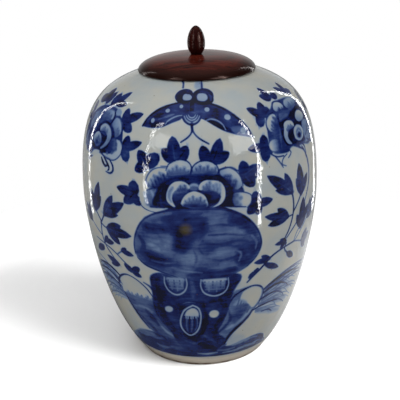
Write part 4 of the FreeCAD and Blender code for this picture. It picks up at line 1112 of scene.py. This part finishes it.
def add(tree, kind, settings=None, links=None):
    """One shader node, with what is set on it and what is linked into its sockets."""
    node = tree.nodes.new("ShaderNode" + kind)
    for name, value in (settings or {}).items():
        if isinstance(name, str) and hasattr(node, name):
            setattr(node, name, value)
        else:
            node.inputs[name].default_value = value
    for name, source in (links or {}).items():
        tree.links.new(source, node.inputs[name])
    return node


def ramp(tree, factor, stops):
    """A colour ramp; stops are (place, colour or grey)."""
    node = add(tree, "ValToRGB", links={"Fac": factor})
    elements = node.color_ramp.elements
    while len(elements) < len(stops):
        elements.new(0.5)
    for element, (place, value) in zip(elements, stops):
        element.position = place
        element.color = (*value, 1) if hasattr(value, "__len__") else (value, value, value, 1)
    return node


def new_material(name):
    """An empty node material with its output."""
    material = bpy.data.materials.new(name)
    material.use_nodes = True
    tree = material.node_tree
    tree.nodes.clear()
    output = add(tree, "OutputMaterial")
    return material, tree, output


def per_metre(size_mm):
    """Noise scale whose features are about this many millimetres across."""
    return 1 / (size_mm * MM)


def glazed_porcelain(colours):
    """Porcelain painted in cobalt and glazed: grey clear gloss, blue that pools dark and bleeds."""
    material, tree, output = new_material("porcelain_cobalt_underglaze")
    place = add(tree, "TexCoord").outputs["Object"]
    cobalt = add(tree, "Attribute", {"attribute_name": "cobalt"}).outputs["Fac"]
    haze = add(tree, "Attribute", {"attribute_name": "haze"}).outputs["Fac"]
    stain = add(tree, "Attribute", {"attribute_name": "stain"}).outputs["Fac"]

    def noise(size_mm, detail=3, roughness=0.5, stretch=None):
        vector = place
        if stretch is not None:
            vector = add(tree, "Mapping", {"Scale": stretch}, {"Vector": place}).outputs[0]
        return add(tree, "TexNoise", {"Scale": per_metre(size_mm), "Detail": detail, "Roughness": roughness},
                   {"Vector": vector}).outputs["Fac"]

    def maths(operation, *values, clamp=False):
        node = add(tree, "Math", {"operation": operation, "use_clamp": clamp})
        for socket, value in zip(node.inputs, values):
            if isinstance(value, (int, float)):
                socket.default_value = value
            else:
                tree.links.new(value, socket)
        return node.outputs[0]

    def mix(factor, first, second):
        node = add(tree, "Mix", {"data_type": "RGBA"})
        for index, value in ((0, factor), (6, first), (7, second)):
            if hasattr(value, "is_output"):
                tree.links.new(value, node.inputs[index])
            elif index == 0:
                node.inputs[index].default_value = value
            else:
                node.inputs[index].default_value = (*value, 1)
        return node.outputs[2]

    # The wash is uneven: broad pools about 14 mm across, and streaks that the brush drew round the jar
    pools = noise(14, detail=4)
    streaks = noise(6, detail=3, stretch=(0.5, 0.5, 2.4))
    grain = noise(1.6, detail=2)
    uneven = maths("ADD", maths("MULTIPLY", pools, 0.7), maths("MULTIPLY", streaks, 0.4))
    uneven = maths("ADD", uneven, maths("MULTIPLY", grain, 0.1))
    density = maths("MULTIPLY", cobalt, maths("ADD", uneven, 0.4))
    bleed = maths("MULTIPLY", haze, maths("MULTIPLY", pools, 0.22))
    bare = maths("SUBTRACT", 1, cobalt, clamp=True)
    density = maths("ADD", density, maths("MULTIPLY", bleed, bare), clamp=True)
    glaze = mix(ramp(tree, noise(30, detail=3), ((0.35, 0), (0.65, 1))).outputs[0], colours.glaze[:],
                colours.glaze_cool[:])
    blue = ramp(tree, density, ((0, colours.glaze[:]), (0.14, colours.haze[:]), (0.38, colours.pale_wash[:]),
                                (0.56, colours.wash[:]), (0.76, colours.line[:]), (0.92, colours.heaped[:]),
                                (1, colours.burnt[:]))).outputs[0]
    painted = mix(maths("MULTIPLY", density, 5.5, clamp=True), glaze, blue)
    painted = mix(maths("MULTIPLY", stain, 0.7), painted, colours.stain[:])
    # Next to the foot the glaze is thin and warm
    height = add(tree, "SeparateXYZ", links={0: place}).outputs["Z"]
    thin = add(tree, "MapRange", {"From Min": 15 * MM, "From Max": 9 * MM}, {"Value": height}).outputs[0]
    painted = mix(maths("MULTIPLY", thin, 0.85), painted, colours.thin_glaze[:])
    specks = add(tree, "TexVoronoi", {"Scale": per_metre(11)}, {"Vector": place}).outputs["Distance"]
    speck_mask = ramp(tree, specks, ((0.035, 0.75), (0.06, 0))).outputs[0]
    finished = mix(speck_mask, painted, colours.speck[:])

    # Glaze runs a little uneven over 26 mm, and ripples over about 6 mm, which breaks up the highlights
    swell = add(tree, "Bump", {"Strength": 0.3, "Distance": 1.4 * MM}, {"Height": noise(26, detail=1)})
    peel = add(tree, "Bump", {"Strength": 0.6, "Distance": 0.36 * MM},
               {"Height": noise(6, detail=2, roughness=0.5), "Normal": swell.outputs[0]})
    shader = add(tree, "BsdfPrincipled",
                 {"Roughness": 0.06, "IOR": 1.5, "Specular IOR Level": 0.5},
                 {"Base Color": finished, "Normal": peel.outputs[0]})
    tree.links.new(shader.outputs[0], output.inputs[0])
    return material


def bare_biscuit(colours):
    """Unglazed porcelain, fired buff and dusty: matt, with the brown line where the glaze stops."""
    material, tree, output = new_material("porcelain_bare_biscuit")
    place = add(tree, "TexCoord").outputs["Object"]
    cloud = add(tree, "TexNoise", {"Scale": per_metre(9), "Detail": 4.0}, {"Vector": place}).outputs["Fac"]
    tint = ramp(tree, cloud, ((0.35, colours.biscuit_dark[:]), (0.6, colours.biscuit[:]))).outputs[0]
    grit = add(tree, "TexNoise", {"Scale": per_metre(0.8), "Detail": 2.0}, {"Vector": place}).outputs["Fac"]
    bump = add(tree, "Bump", {"Strength": 0.3, "Distance": 0.15 * MM}, {"Height": grit})
    shader = add(tree, "BsdfPrincipled", {"Roughness": 0.8},
                 {"Base Color": tint, "Normal": bump.outputs[0]})
    tree.links.new(shader.outputs[0], output.inputs[0])
    return material


def polished_hardwood(name, colours, heart, grain, roughness):
    """Dense tropical hardwood, stained and waxed, with long dark pores along one axis and a low gloss."""
    material, tree, output = new_material(name)
    place = add(tree, "TexCoord").outputs["Object"]
    stretch, finer = ([share if axis == grain else 1 for axis in range(3)] for share in (0.12, 0.06))
    along = add(tree, "Mapping", {"Scale": stretch}, {"Vector": place}).outputs[0]
    figure = add(tree, "TexNoise", {"Scale": per_metre(7), "Detail": 4, "Distortion": 0.6},
                 {"Vector": along}).outputs["Fac"]
    warm = [h + 0.6 * (w - p) for h, w, p in zip(heart, colours.warm, colours.heart)]
    tint = ramp(tree, figure, ((0.3, colours.pore[:]), (0.5, heart[:]), (0.72, warm))).outputs[0]
    fine = add(tree, "Mapping", {"Scale": finer}, {"Vector": place}).outputs[0]
    pores = add(tree, "TexNoise", {"Scale": per_metre(1.1), "Detail": 2.0}, {"Vector": fine}).outputs["Fac"]
    pore_mask = ramp(tree, pores, ((0.36, 1), (0.46, 0))).outputs[0]
    mixed = add(tree, "Mix", {"data_type": "RGBA", 7: (*colours.pore[:], 1)}, {0: pore_mask, 6: tint})
    # From 40 mm outwards, down over the rim, the wood is painted darker: painted shade where the rim gets
    # less light than the top
    flat = add(tree, "Mapping", {"Scale": (1, 1, 0)}, {"Vector": place}).outputs[0]
    reach = add(tree, "VectorMath", {"operation": "LENGTH"}, {0: flat}).outputs["Value"]
    rim = add(tree, "MapRange", {"From Min": 40 * MM, "From Max": 52 * MM, "To Max": 1.0}, {"Value": reach})
    # Here the pore colour paints shade over the rim
    stained = add(tree, "Mix", {"data_type": "RGBA", 7: (*colours.pore[:], 1)},
                  {0: rim.outputs[0], 6: mixed.outputs[2]})
    shader = add(tree, "BsdfPrincipled",
                 {"Roughness": roughness, "IOR": 1.36, "Specular Tint": (1, 0.68, 0.6, 1)},
                 {"Base Color": stained.outputs[2]})
    tree.links.new(shader.outputs[0], output.inputs[0])
    return material


# Pieces

def nothing_selected():
    bpy.ops.object.select_all(action="DESELECT")


def new_object(name, verts, edges, faces):
    """A mesh object in the scene, selected and active."""
    mesh = bpy.data.meshes.new(name)
    mesh.from_pydata(verts, edges, faces)
    mesh.update()
    piece = bpy.data.objects.new(name, mesh)
    bpy.context.scene.collection.objects.link(piece)
    nothing_selected()
    piece.select_set(True)
    bpy.context.view_layer.objects.active = piece
    return piece


def corner(before, at, after, radius, count):
    """Points of a small arc that rounds a corner of an outline."""
    before, at, after = (Vector(p) for p in (before, at, after))
    to_before, to_after = (before - at).normalized(), (after - at).normalized()
    reach = radius / math.tan(to_before.angle(to_after) / 2)
    start, end = at + to_before * reach, at + to_after * reach
    middle = at + (to_before + to_after).normalized() * radius / math.sin(to_before.angle(to_after) / 2)
    first, last = start - middle, end - middle
    turn = first.angle_signed(last)
    points = []
    for step in range(count + 1):
        angle = -turn * step / count
        points.append(tuple(middle + Matrix.Rotation(angle, 2) @ first))
    return points


def hidden_outline(wall, sizes):
    """Outline of everything but the painted wall, from its top over the neck and inside to the foot."""
    slope = sizes.shoulder_slope
    mouth = sizes.neck_radius - sizes.neck_wall
    under_mouth = wall.neck[1] + sizes.neck_wall * slope - sizes.wall
    floor_height = sizes.foot_hollow + sizes.floor
    floor_radius = (sizes.foot_radius - sizes.heel_wall
                    + (floor_height - sizes.foot_edge) * wall.flank_slope)
    inner_belly = sizes.belly_radius - sizes.wall
    flank, shoulder = wall.pulls["flank"], wall.pulls["shoulder"]
    rest = sizes.foot_radius - sizes.foot_inset
    ring_inside = rest - sizes.foot_ring
    neck_top_out = (sizes.neck_radius, sizes.top_height)
    neck_top_in = (mouth, sizes.top_height)
    upper = cubic(((mouth, under_mouth), (shoulder[0], shoulder[1] - sizes.wall),
                   (inner_belly, wall.pulls["high"]), (inner_belly, sizes.belly_height)), 30)
    lower = cubic(((inner_belly, sizes.belly_height), (inner_belly, wall.pulls["low"]),
                   (flank[0] - sizes.wall, flank[1]), (floor_radius, floor_height)), 30)
    inside = np.vstack([upper, lower[1:]])
    keep = inside[inside[:, 1] > floor_height + sizes.floor_corner]
    rounded = corner(tuple(keep[-1]), (floor_radius, floor_height), (0, floor_height),
                     sizes.floor_corner * 0.8, 6)
    return [tuple(wall.neck),
            *corner(wall.neck, neck_top_out, neck_top_in, sizes.neck_lip, 4),
            *corner(neck_top_out, neck_top_in, (mouth, under_mouth), sizes.neck_lip, 4),
            *[tuple(p) for p in keep], *rounded,
            (floor_radius * 0.5, floor_height), (0, floor_height)], [
            (0, sizes.foot_hollow), (ring_inside * 0.5, sizes.foot_hollow), (ring_inside, sizes.foot_hollow),
            (ring_inside, 0), (rest, 0), (sizes.foot_radius, sizes.foot_edge)]


def spun(name, outline, columns):
    """A surface turned from an outline of (radius, height) points, starting at the back."""
    verts = [(0, r, z) for r, z in outline]
    piece = new_object(name, verts, [(k, k + 1) for k in range(len(verts) - 1)], [])
    bpy.ops.object.mode_set(mode="EDIT")
    bpy.ops.mesh.select_all(action="SELECT")
    bpy.ops.mesh.spin(steps=columns, angle=math.tau, center=(0, 0, 0), axis=(0, 0, 1))
    bpy.ops.mesh.select_all(action="SELECT")
    bpy.ops.mesh.remove_doubles(threshold=1e-6)
    bpy.ops.mesh.normals_make_consistent(inside=False)
    bpy.ops.object.mode_set(mode="OBJECT")
    return piece


class JAR_OT_throw(bpy.types.Operator):
    """Make the porcelain jar: its painted wall, and the neck, inside and foot that are turned"""
    bl_idname = "jar.throw"
    bl_label = "Throw and Paint the Jar"

    def execute(self, context):
        sizes, colours = context.scene.jar_sizes, context.scene.jar_colours
        wall = Wall(sizes)
        brush = Brush(wall.degree)
        paint(brush)
        touches = list(wrapped(brush))
        flat, faces = unrolled_mesh(touches, wall, sizes)
        layers = fired(touches, flat)
        places = wall.place(flat[:, 0] / wall.degree, flat[:, 1])
        jar = new_object("jar", places.tolist(), [], faces.tolist())
        mesh = jar.data
        for name, values in layers.items():
            attribute = mesh.attributes.new(name, "FLOAT", "POINT")
            attribute.data.foreach_set("value", values.astype(np.float32))
        # In the OFBake map the painted wall takes the upper part; the inside and the foot take strips below
        # it
        bake = mesh.uv_layers.new(name="OFBake")
        share_up = (flat[:, 1] - wall.glaze_start) / (wall.glaze_end - wall.glaze_start)
        share_round = flat[:, 0] / (360 * wall.degree) + 0.5
        bake_places = np.stack([0.004 + 0.992 * share_round, 0.15 + 0.845 * share_up], -1)
        bake.data.foreach_set("uv", bake_places[faces.reshape(-1)].astype(np.float32).reshape(-1))
        print("painted wall", len(touches), "touches", len(flat), "vertices", len(faces), "triangles")

        columns = round(math.tau / sizes.column_angle)
        upper, lower = hidden_outline(wall, sizes)
        parts = [jar]
        for name, outline, low, high in (("jar_inside", upper, 0.05, 0.14), ("jar_foot", lower, 0, 0.045)):
            part = spun(name, outline, columns)
            parts.append(part)
            layer = part.data.uv_layers.new(name="OFBake")
            steps = np.concatenate([[0], np.cumsum([math.dist(a, b) for a, b in zip(outline, outline[1:])])])
            for polygon in part.data.polygons:
                corners = [part.data.vertices[v].co for v in polygon.vertices]
                turns = [math.atan2(co.x, -co.y) for co in corners]
                centre = polygon.center
                middle = math.atan2(centre.x, -centre.y)
                for loop, turn, co in zip(polygon.loop_indices, turns, corners):
                    radius = math.hypot(co.x, co.y)
                    if radius < 1e-6:
                        turn = middle
                    if turn - middle > math.pi:
                        turn -= math.tau
                    if turn - middle < -math.pi:
                        turn += math.tau
                    nearest = min(range(len(outline)), key=lambda k: math.dist(outline[k], (radius, co.z)))
                    layer.data[loop].uv = (0.004 + 0.992 * (turn / math.tau + 0.5),
                                           low + (high - low) * steps[nearest] / steps[-1])
        nothing_selected()
        for part in parts:
            part.select_set(True)
        context.view_layer.objects.active = jar
        bpy.ops.object.join()
        bpy.ops.object.mode_set(mode="EDIT")
        bpy.ops.mesh.select_all(action="SELECT")
        bpy.ops.mesh.remove_doubles(threshold=2e-6)
        bpy.ops.object.mode_set(mode="OBJECT")
        mesh = jar.data
        mesh.materials.append(glazed_porcelain(colours))
        mesh.materials.append(bare_biscuit(colours))
        neck_rim = wall.neck[1]
        for polygon in mesh.polygons:
            polygon.use_smooth = True
            centre = polygon.center
            reach = math.hypot(centre.x, centre.y)
            at_foot = centre.z < sizes.foot_edge - 1e-5
            at_neck = centre.z > neck_rim and reach > sizes.neck_radius - sizes.neck_wall
            polygon.material_index = 1 if at_foot or at_neck else 0
        bpy.ops.object.shade_smooth_by_angle(angle=math.radians(35))
        self.smooth_wall(mesh, wall, sizes)
        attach(jar, "jar")
        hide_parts("jar_body")
        return {"FINISHED"}

    @staticmethod
    def smooth_wall(mesh, wall, sizes):
        """Give the painted wall the normals of the true round shape, whatever its triangles are."""
        places = np.zeros(len(mesh.vertices) * 3)
        mesh.vertices.foreach_get("co", places)
        places = places.reshape(-1, 3)
        normals = wall.normal(places)
        loops = np.zeros(len(mesh.loops), int)
        mesh.loops.foreach_get("vertex_index", loops)
        own = np.zeros((len(mesh.loops), 3))
        outline_radius = np.interp(places[:, 2], wall.outline[1:, 1], wall.outline[1:, 0])
        for polygon in mesh.polygons:
            centre = polygon.center
            if centre.z < sizes.foot_edge:
                continue
            outer = math.hypot(centre.x, centre.y)
            expected = outline_radius[polygon.vertices[0]]
            if polygon.loop_total == 3 and outer > expected - 1.5 * MM and centre.z < wall.neck[1]:
                for loop in polygon.loop_indices:
                    own[loop] = normals[loops[loop]]
        mesh.normals_split_custom_set(own.tolist())


class JAR_OT_turn_cover(bpy.types.Operator):
    """Finish the turned hardwood cover and its bud finial"""
    bl_idname = "jar.turn_cover"
    bl_label = "Turn the Cover"

    def execute(self, context):
        colours, sizes = context.scene.jar_wood, context.scene.jar_sizes
        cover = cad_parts["lid"]
        cover.data.materials.clear()
        waxed = polished_hardwood("hardwood_turned_waxed", colours, colours.heart, 0, 0.2)
        cover.data.materials.append(waxed)
        low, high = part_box("finial")
        reach = min(high.x, -low.x, high.y, -low.y)
        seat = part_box("lid")[1].z
        widest = seat + sizes.bud_widest * (high.z - seat)
        rise = widest - seat
        under = cubic(((sizes.bud_foot, seat - 0.5 * MM), (reach * 0.88, seat + 0.32 * rise),
                       (reach, widest - 0.56 * rise), (reach, widest)), 16)
        over = cubic(((reach, widest), (reach, widest + 0.42 * (high.z - widest)),
                      (reach * 0.6, high.z - 0.6 * MM), (0, high.z)), 20)
        bud = spun("bud", [(0, seat - 0.5 * MM), *map(tuple, under), *map(tuple, over[1:])], 96)
        bud.data.materials.append(polished_hardwood("hardwood_turned_bud", colours, colours.bud, 2, 0.24))
        bpy.ops.object.shade_smooth_by_angle(angle=math.radians(60))
        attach(bud, "cover")
        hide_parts("finial")
        return {"FINISHED"}


class JAR_OT_set_stage(bpy.types.Operator):
    """Put up the floor, the soft lamps and the camera"""
    bl_idname = "jar.set_stage"
    bl_label = "Set the Stage"

    # Name, direction round from the front in degrees, distance, low end, high end, width in metres, radiance
    LAMPS = (
        ("strip_front_left", -47.5, 0.70, 0.005, 1.00, 0.013, 21),
        ("strip_left", -117.5, 0.40, 0.005, 0.64, 0.010, 12),
        ("strip_front_right", 50, 0.42, 0.005, 0.62, 0.013, 28),
        ("strip_right", 131, 0.38, 0.005, 0.60, 0.009, 15),
        ("window_left", -38, 0.80, 0.46, 0.74, 0.22, 3.5),
        ("window_right", 41, 0.80, 0.36, 0.68, 0.34, 3.9),
    )
    # Soft light off the walls and the ceiling: name, direction and rise in degrees, distance, width, radiance
    SOFT = (
        ("soft_above", -20, 60, 1.5, 1.1, 1.9),
        ("soft_right", 60, 40, 1.4, 0.7, 2.4),
        ("soft_left", -70, 60, 1.4, 0.8, 2.3),
        ("soft_back", 180, 40, 1.4, 0.8, 1.6),
    )
    # A tall window's light, on the floor alone, with its height after its width
    FLOOR_LAMP = ("floor_key", 61, 31, 3.5, 2.1, 18, 3.4)

    def execute(self, context):
        stage = context.scene.jar_stage
        self.lay_floor(stage)
        for name, direction, distance, low, high, width, radiance in self.LAMPS:
            turn = math.radians(direction)
            place = Vector((distance * math.sin(turn), -distance * math.cos(turn), (low + high) / 2))
            lamp = self.hang_lamp(name, place, Vector((0, 0, place.z)), width, high - low, radiance)
            lamp.visible_diffuse = name != "strip_front_right"
        for soft in self.SOFT:
            self.hang_soft(*soft)
        self.set_world(context.scene)
        self.set_camera(context.scene, stage)
        context.scene.view_settings.view_transform = "Standard"
        return {"FINISHED"}

    def lay_floor(self, stage):
        nothing_selected()
        bpy.ops.mesh.primitive_circle_add(vertices=96, radius=stage.floor_radius, fill_type="NGON",
                                          location=(0, 0, JAR_LOW.z))
        floor = bpy.context.active_object
        floor.name = "floor"
        bpy.ops.object.transform_apply(location=True)
        material, tree, output = new_material("plain_pale_floor")
        place = add(tree, "TexCoord").outputs["Object"]
        away = add(tree, "VectorMath", {"operation": "LENGTH"}, {0: place}).outputs["Value"]
        fade = add(tree, "MapRange", {"From Min": 0.28, "From Max": 0.46}, {"Value": away}).outputs[0]
        pale = add(tree, "BsdfDiffuse", {"Color": (0.34, 0.34, 0.34, 1)})
        # In the gloss the floor's colour holds painted light and shade: dark in front and paler behind, with
        # a painted pool of the lamp's light at the right
        along = add(tree, "SeparateXYZ", links={0: place}).outputs["Y"]
        sweep = add(tree, "MapRange", {"From Min": -0.1, "From Max": 0.3, "To Min": 0.05, "To Max": 0.17},
                    {"Value": along}).outputs[0]
        aside = add(tree, "VectorMath", {"operation": "DISTANCE", 1: (0.18, 0.07, 0)}, {0: place})
        pool = add(tree, "MapRange", {"From Min": 0.07, "From Max": 0.21, "To Min": 0.3, "To Max": 0},
                   {"Value": aside.outputs["Value"]}).outputs[0]
        bright = add(tree, "Math", {"operation": "ADD"}, {0: sweep, 1: pool}).outputs[0]
        dim = add(tree, "BsdfDiffuse", links={"Color": bright})
        near = add(tree, "BsdfDiffuse", {"Color": (0.64, 0.64, 0.64, 1)})
        far = add(tree, "Emission", {"Color": (1, 1, 1, 1), "Strength": 1.0})
        seen_floor = add(tree, "MixShader", links={0: fade, 1: near.outputs[0], 2: far.outputs[0]})
        rays = add(tree, "LightPath").outputs
        lit = add(tree, "MixShader", links={0: rays["Is Glossy Ray"], 1: pale.outputs[0], 2: dim.outputs[0]})
        mixed = add(tree, "MixShader", links={0: rays["Is Camera Ray"], 1: lit.outputs[0],
                                                        2: seen_floor.outputs[0]})
        tree.links.new(mixed.outputs[0], output.inputs[0])
        floor.data.materials.append(material)
        # One lamp lights the floor alone, so that the jar's shadow falls to its left
        only_floor = bpy.data.collections.new("floor_only")
        only_floor.objects.link(floor)
        self.hang_soft(*self.FLOOR_LAMP).light_linking.receiver_collection = only_floor

    def hang_lamp(self, name, place, target, width, height, radiance):
        """A soft rectangular lamp that faces a target."""
        data = bpy.data.lights.new(name, "AREA")
        data.shape = "RECTANGLE"
        data.size = width
        data.size_y = height
        data.energy = radiance * math.pi * width * height
        lamp = bpy.data.objects.new(name, data)
        bpy.context.scene.collection.objects.link(lamp)
        lamp.location = place
        lamp.rotation_euler = (target - place).to_track_quat("-Z", "Y").to_euler()
        lamp.visible_camera = False
        return lamp

    def hang_soft(self, name, direction, rise, distance, width, radiance, height=None):
        """A soft lamp that lights but doesn't show in the gloss, square unless its height is given."""
        turn, rise = math.radians(direction), math.radians(rise)
        place = distance * Vector((math.sin(turn) * math.cos(rise), -math.cos(turn) * math.cos(rise),
                                   math.sin(rise)))
        lamp = self.hang_lamp(name, place, Vector((0, 0, 0.1)), width, height or width, radiance)
        lamp.visible_glossy = False
        return lamp

    def set_world(self, scene):
        """White to the camera; for light and gloss, a dim room in front and a pale backdrop behind."""
        world = bpy.data.worlds.new("studio")
        world.use_nodes = True
        scene.world = world
        tree = world.node_tree
        tree.nodes.clear()
        output = add(tree, "OutputWorld")
        way = add(tree, "SeparateXYZ", links={0: add(tree, "TexCoord").outputs["Generated"]})
        seen = add(tree, "LightPath")
        room = ramp(tree, way.outputs["Z"], ((0, 0.12), (0.35, 0.12), (0.7, 0.25), (1, 0.6)))
        dark = ramp(tree, way.outputs["Z"], ((0, 0.04), (0.35, 0.05), (0.7, 0.14), (1, 0.4)))
        around = add(tree, "Mix", {"data_type": "RGBA"},
                     {0: seen.outputs["Is Glossy Ray"], 6: room.outputs[0], 7: dark.outputs[0]})
        # The white backdrop stands behind the jar and ends above it, where the room is dark again
        backdrop = ramp(tree, way.outputs["Z"], ((0, 0.65), (0.1, 0.6), (0.2, 0.5), (0.35, 0.35), (0.5, 0.16),
                                                 (1, 0.4)))
        behind = add(tree, "MapRange", {"From Min": 0.62, "From Max": 0.97}, {"Value": way.outputs["Y"]})
        gloss = add(tree, "Math", {"operation": "MULTIPLY"},
                    {0: behind.outputs[0], 1: seen.outputs["Is Glossy Ray"]})
        shade = add(tree, "Mix", {"data_type": "RGBA"},
                    {0: gloss.outputs[0], 6: around.outputs[2], 7: backdrop.outputs[0]})
        light = add(tree, "Background", {"Strength": 1.0}, {"Color": shade.outputs[2]})
        white = add(tree, "Background", {"Color": (1, 1, 1, 1), "Strength": 1.0})
        mixed = add(tree, "MixShader", links={0: seen.outputs["Is Camera Ray"], 1: light.outputs[0],
                                                        2: white.outputs[0]})
        tree.links.new(mixed.outputs[0], output.inputs[0])

    def set_camera(self, scene, stage):
        data = bpy.data.cameras.new("camera")
        data.lens = stage.camera_lens
        data.sensor_width = 36
        camera = bpy.data.objects.new("camera", data)
        scene.collection.objects.link(camera)
        place = Matrix.Translation((stage.camera_side, -stage.camera_distance, stage.camera_height))
        camera.matrix_world = (place @ Matrix.Rotation(math.pi / 2 - stage.camera_pitch, 4, "X")
                               @ Matrix.Rotation(-stage.camera_roll, 4, "Z"))
        scene.camera = camera


class VIEW3D_PT_jar(bpy.types.Panel):
    """The steps that make the jar"""
    bl_label = "Painted Lidded Jar"
    bl_space_type = "VIEW_3D"
    bl_region_type = "UI"
    bl_category = "Jar"

    def draw(self, context):
        for step in STEPS:
            self.layout.operator(step.bl_idname)
        for group in (context.scene.jar_sizes, context.scene.jar_colours, context.scene.jar_wood,
                      context.scene.jar_stage):
            box = self.layout.box()
            for name in group.__annotations__:
                box.prop(group, name)


GROUPS = {"jar_sizes": JarSizes, "jar_colours": JarColours, "jar_wood": WoodColours, "jar_stage": StageSizes}
STEPS = (JAR_OT_throw, JAR_OT_turn_cover, JAR_OT_set_stage)


def register():
    for cls in (*GROUPS.values(), *STEPS, VIEW3D_PT_jar):
        bpy.utils.register_class(cls)
    for name, group in GROUPS.items():
        setattr(bpy.types.Scene, name, bpy.props.PointerProperty(type=group))


def unregister():
    for name in GROUPS:
        delattr(bpy.types.Scene, name)
    for cls in (VIEW3D_PT_jar, *reversed(STEPS), *reversed(GROUPS.values())):
        bpy.utils.unregister_class(cls)


def main():
    register()
    bpy.ops.jar.throw()
    bpy.ops.jar.turn_cover()
    bpy.ops.jar.set_stage()


if __name__ == "__main__":
    main()
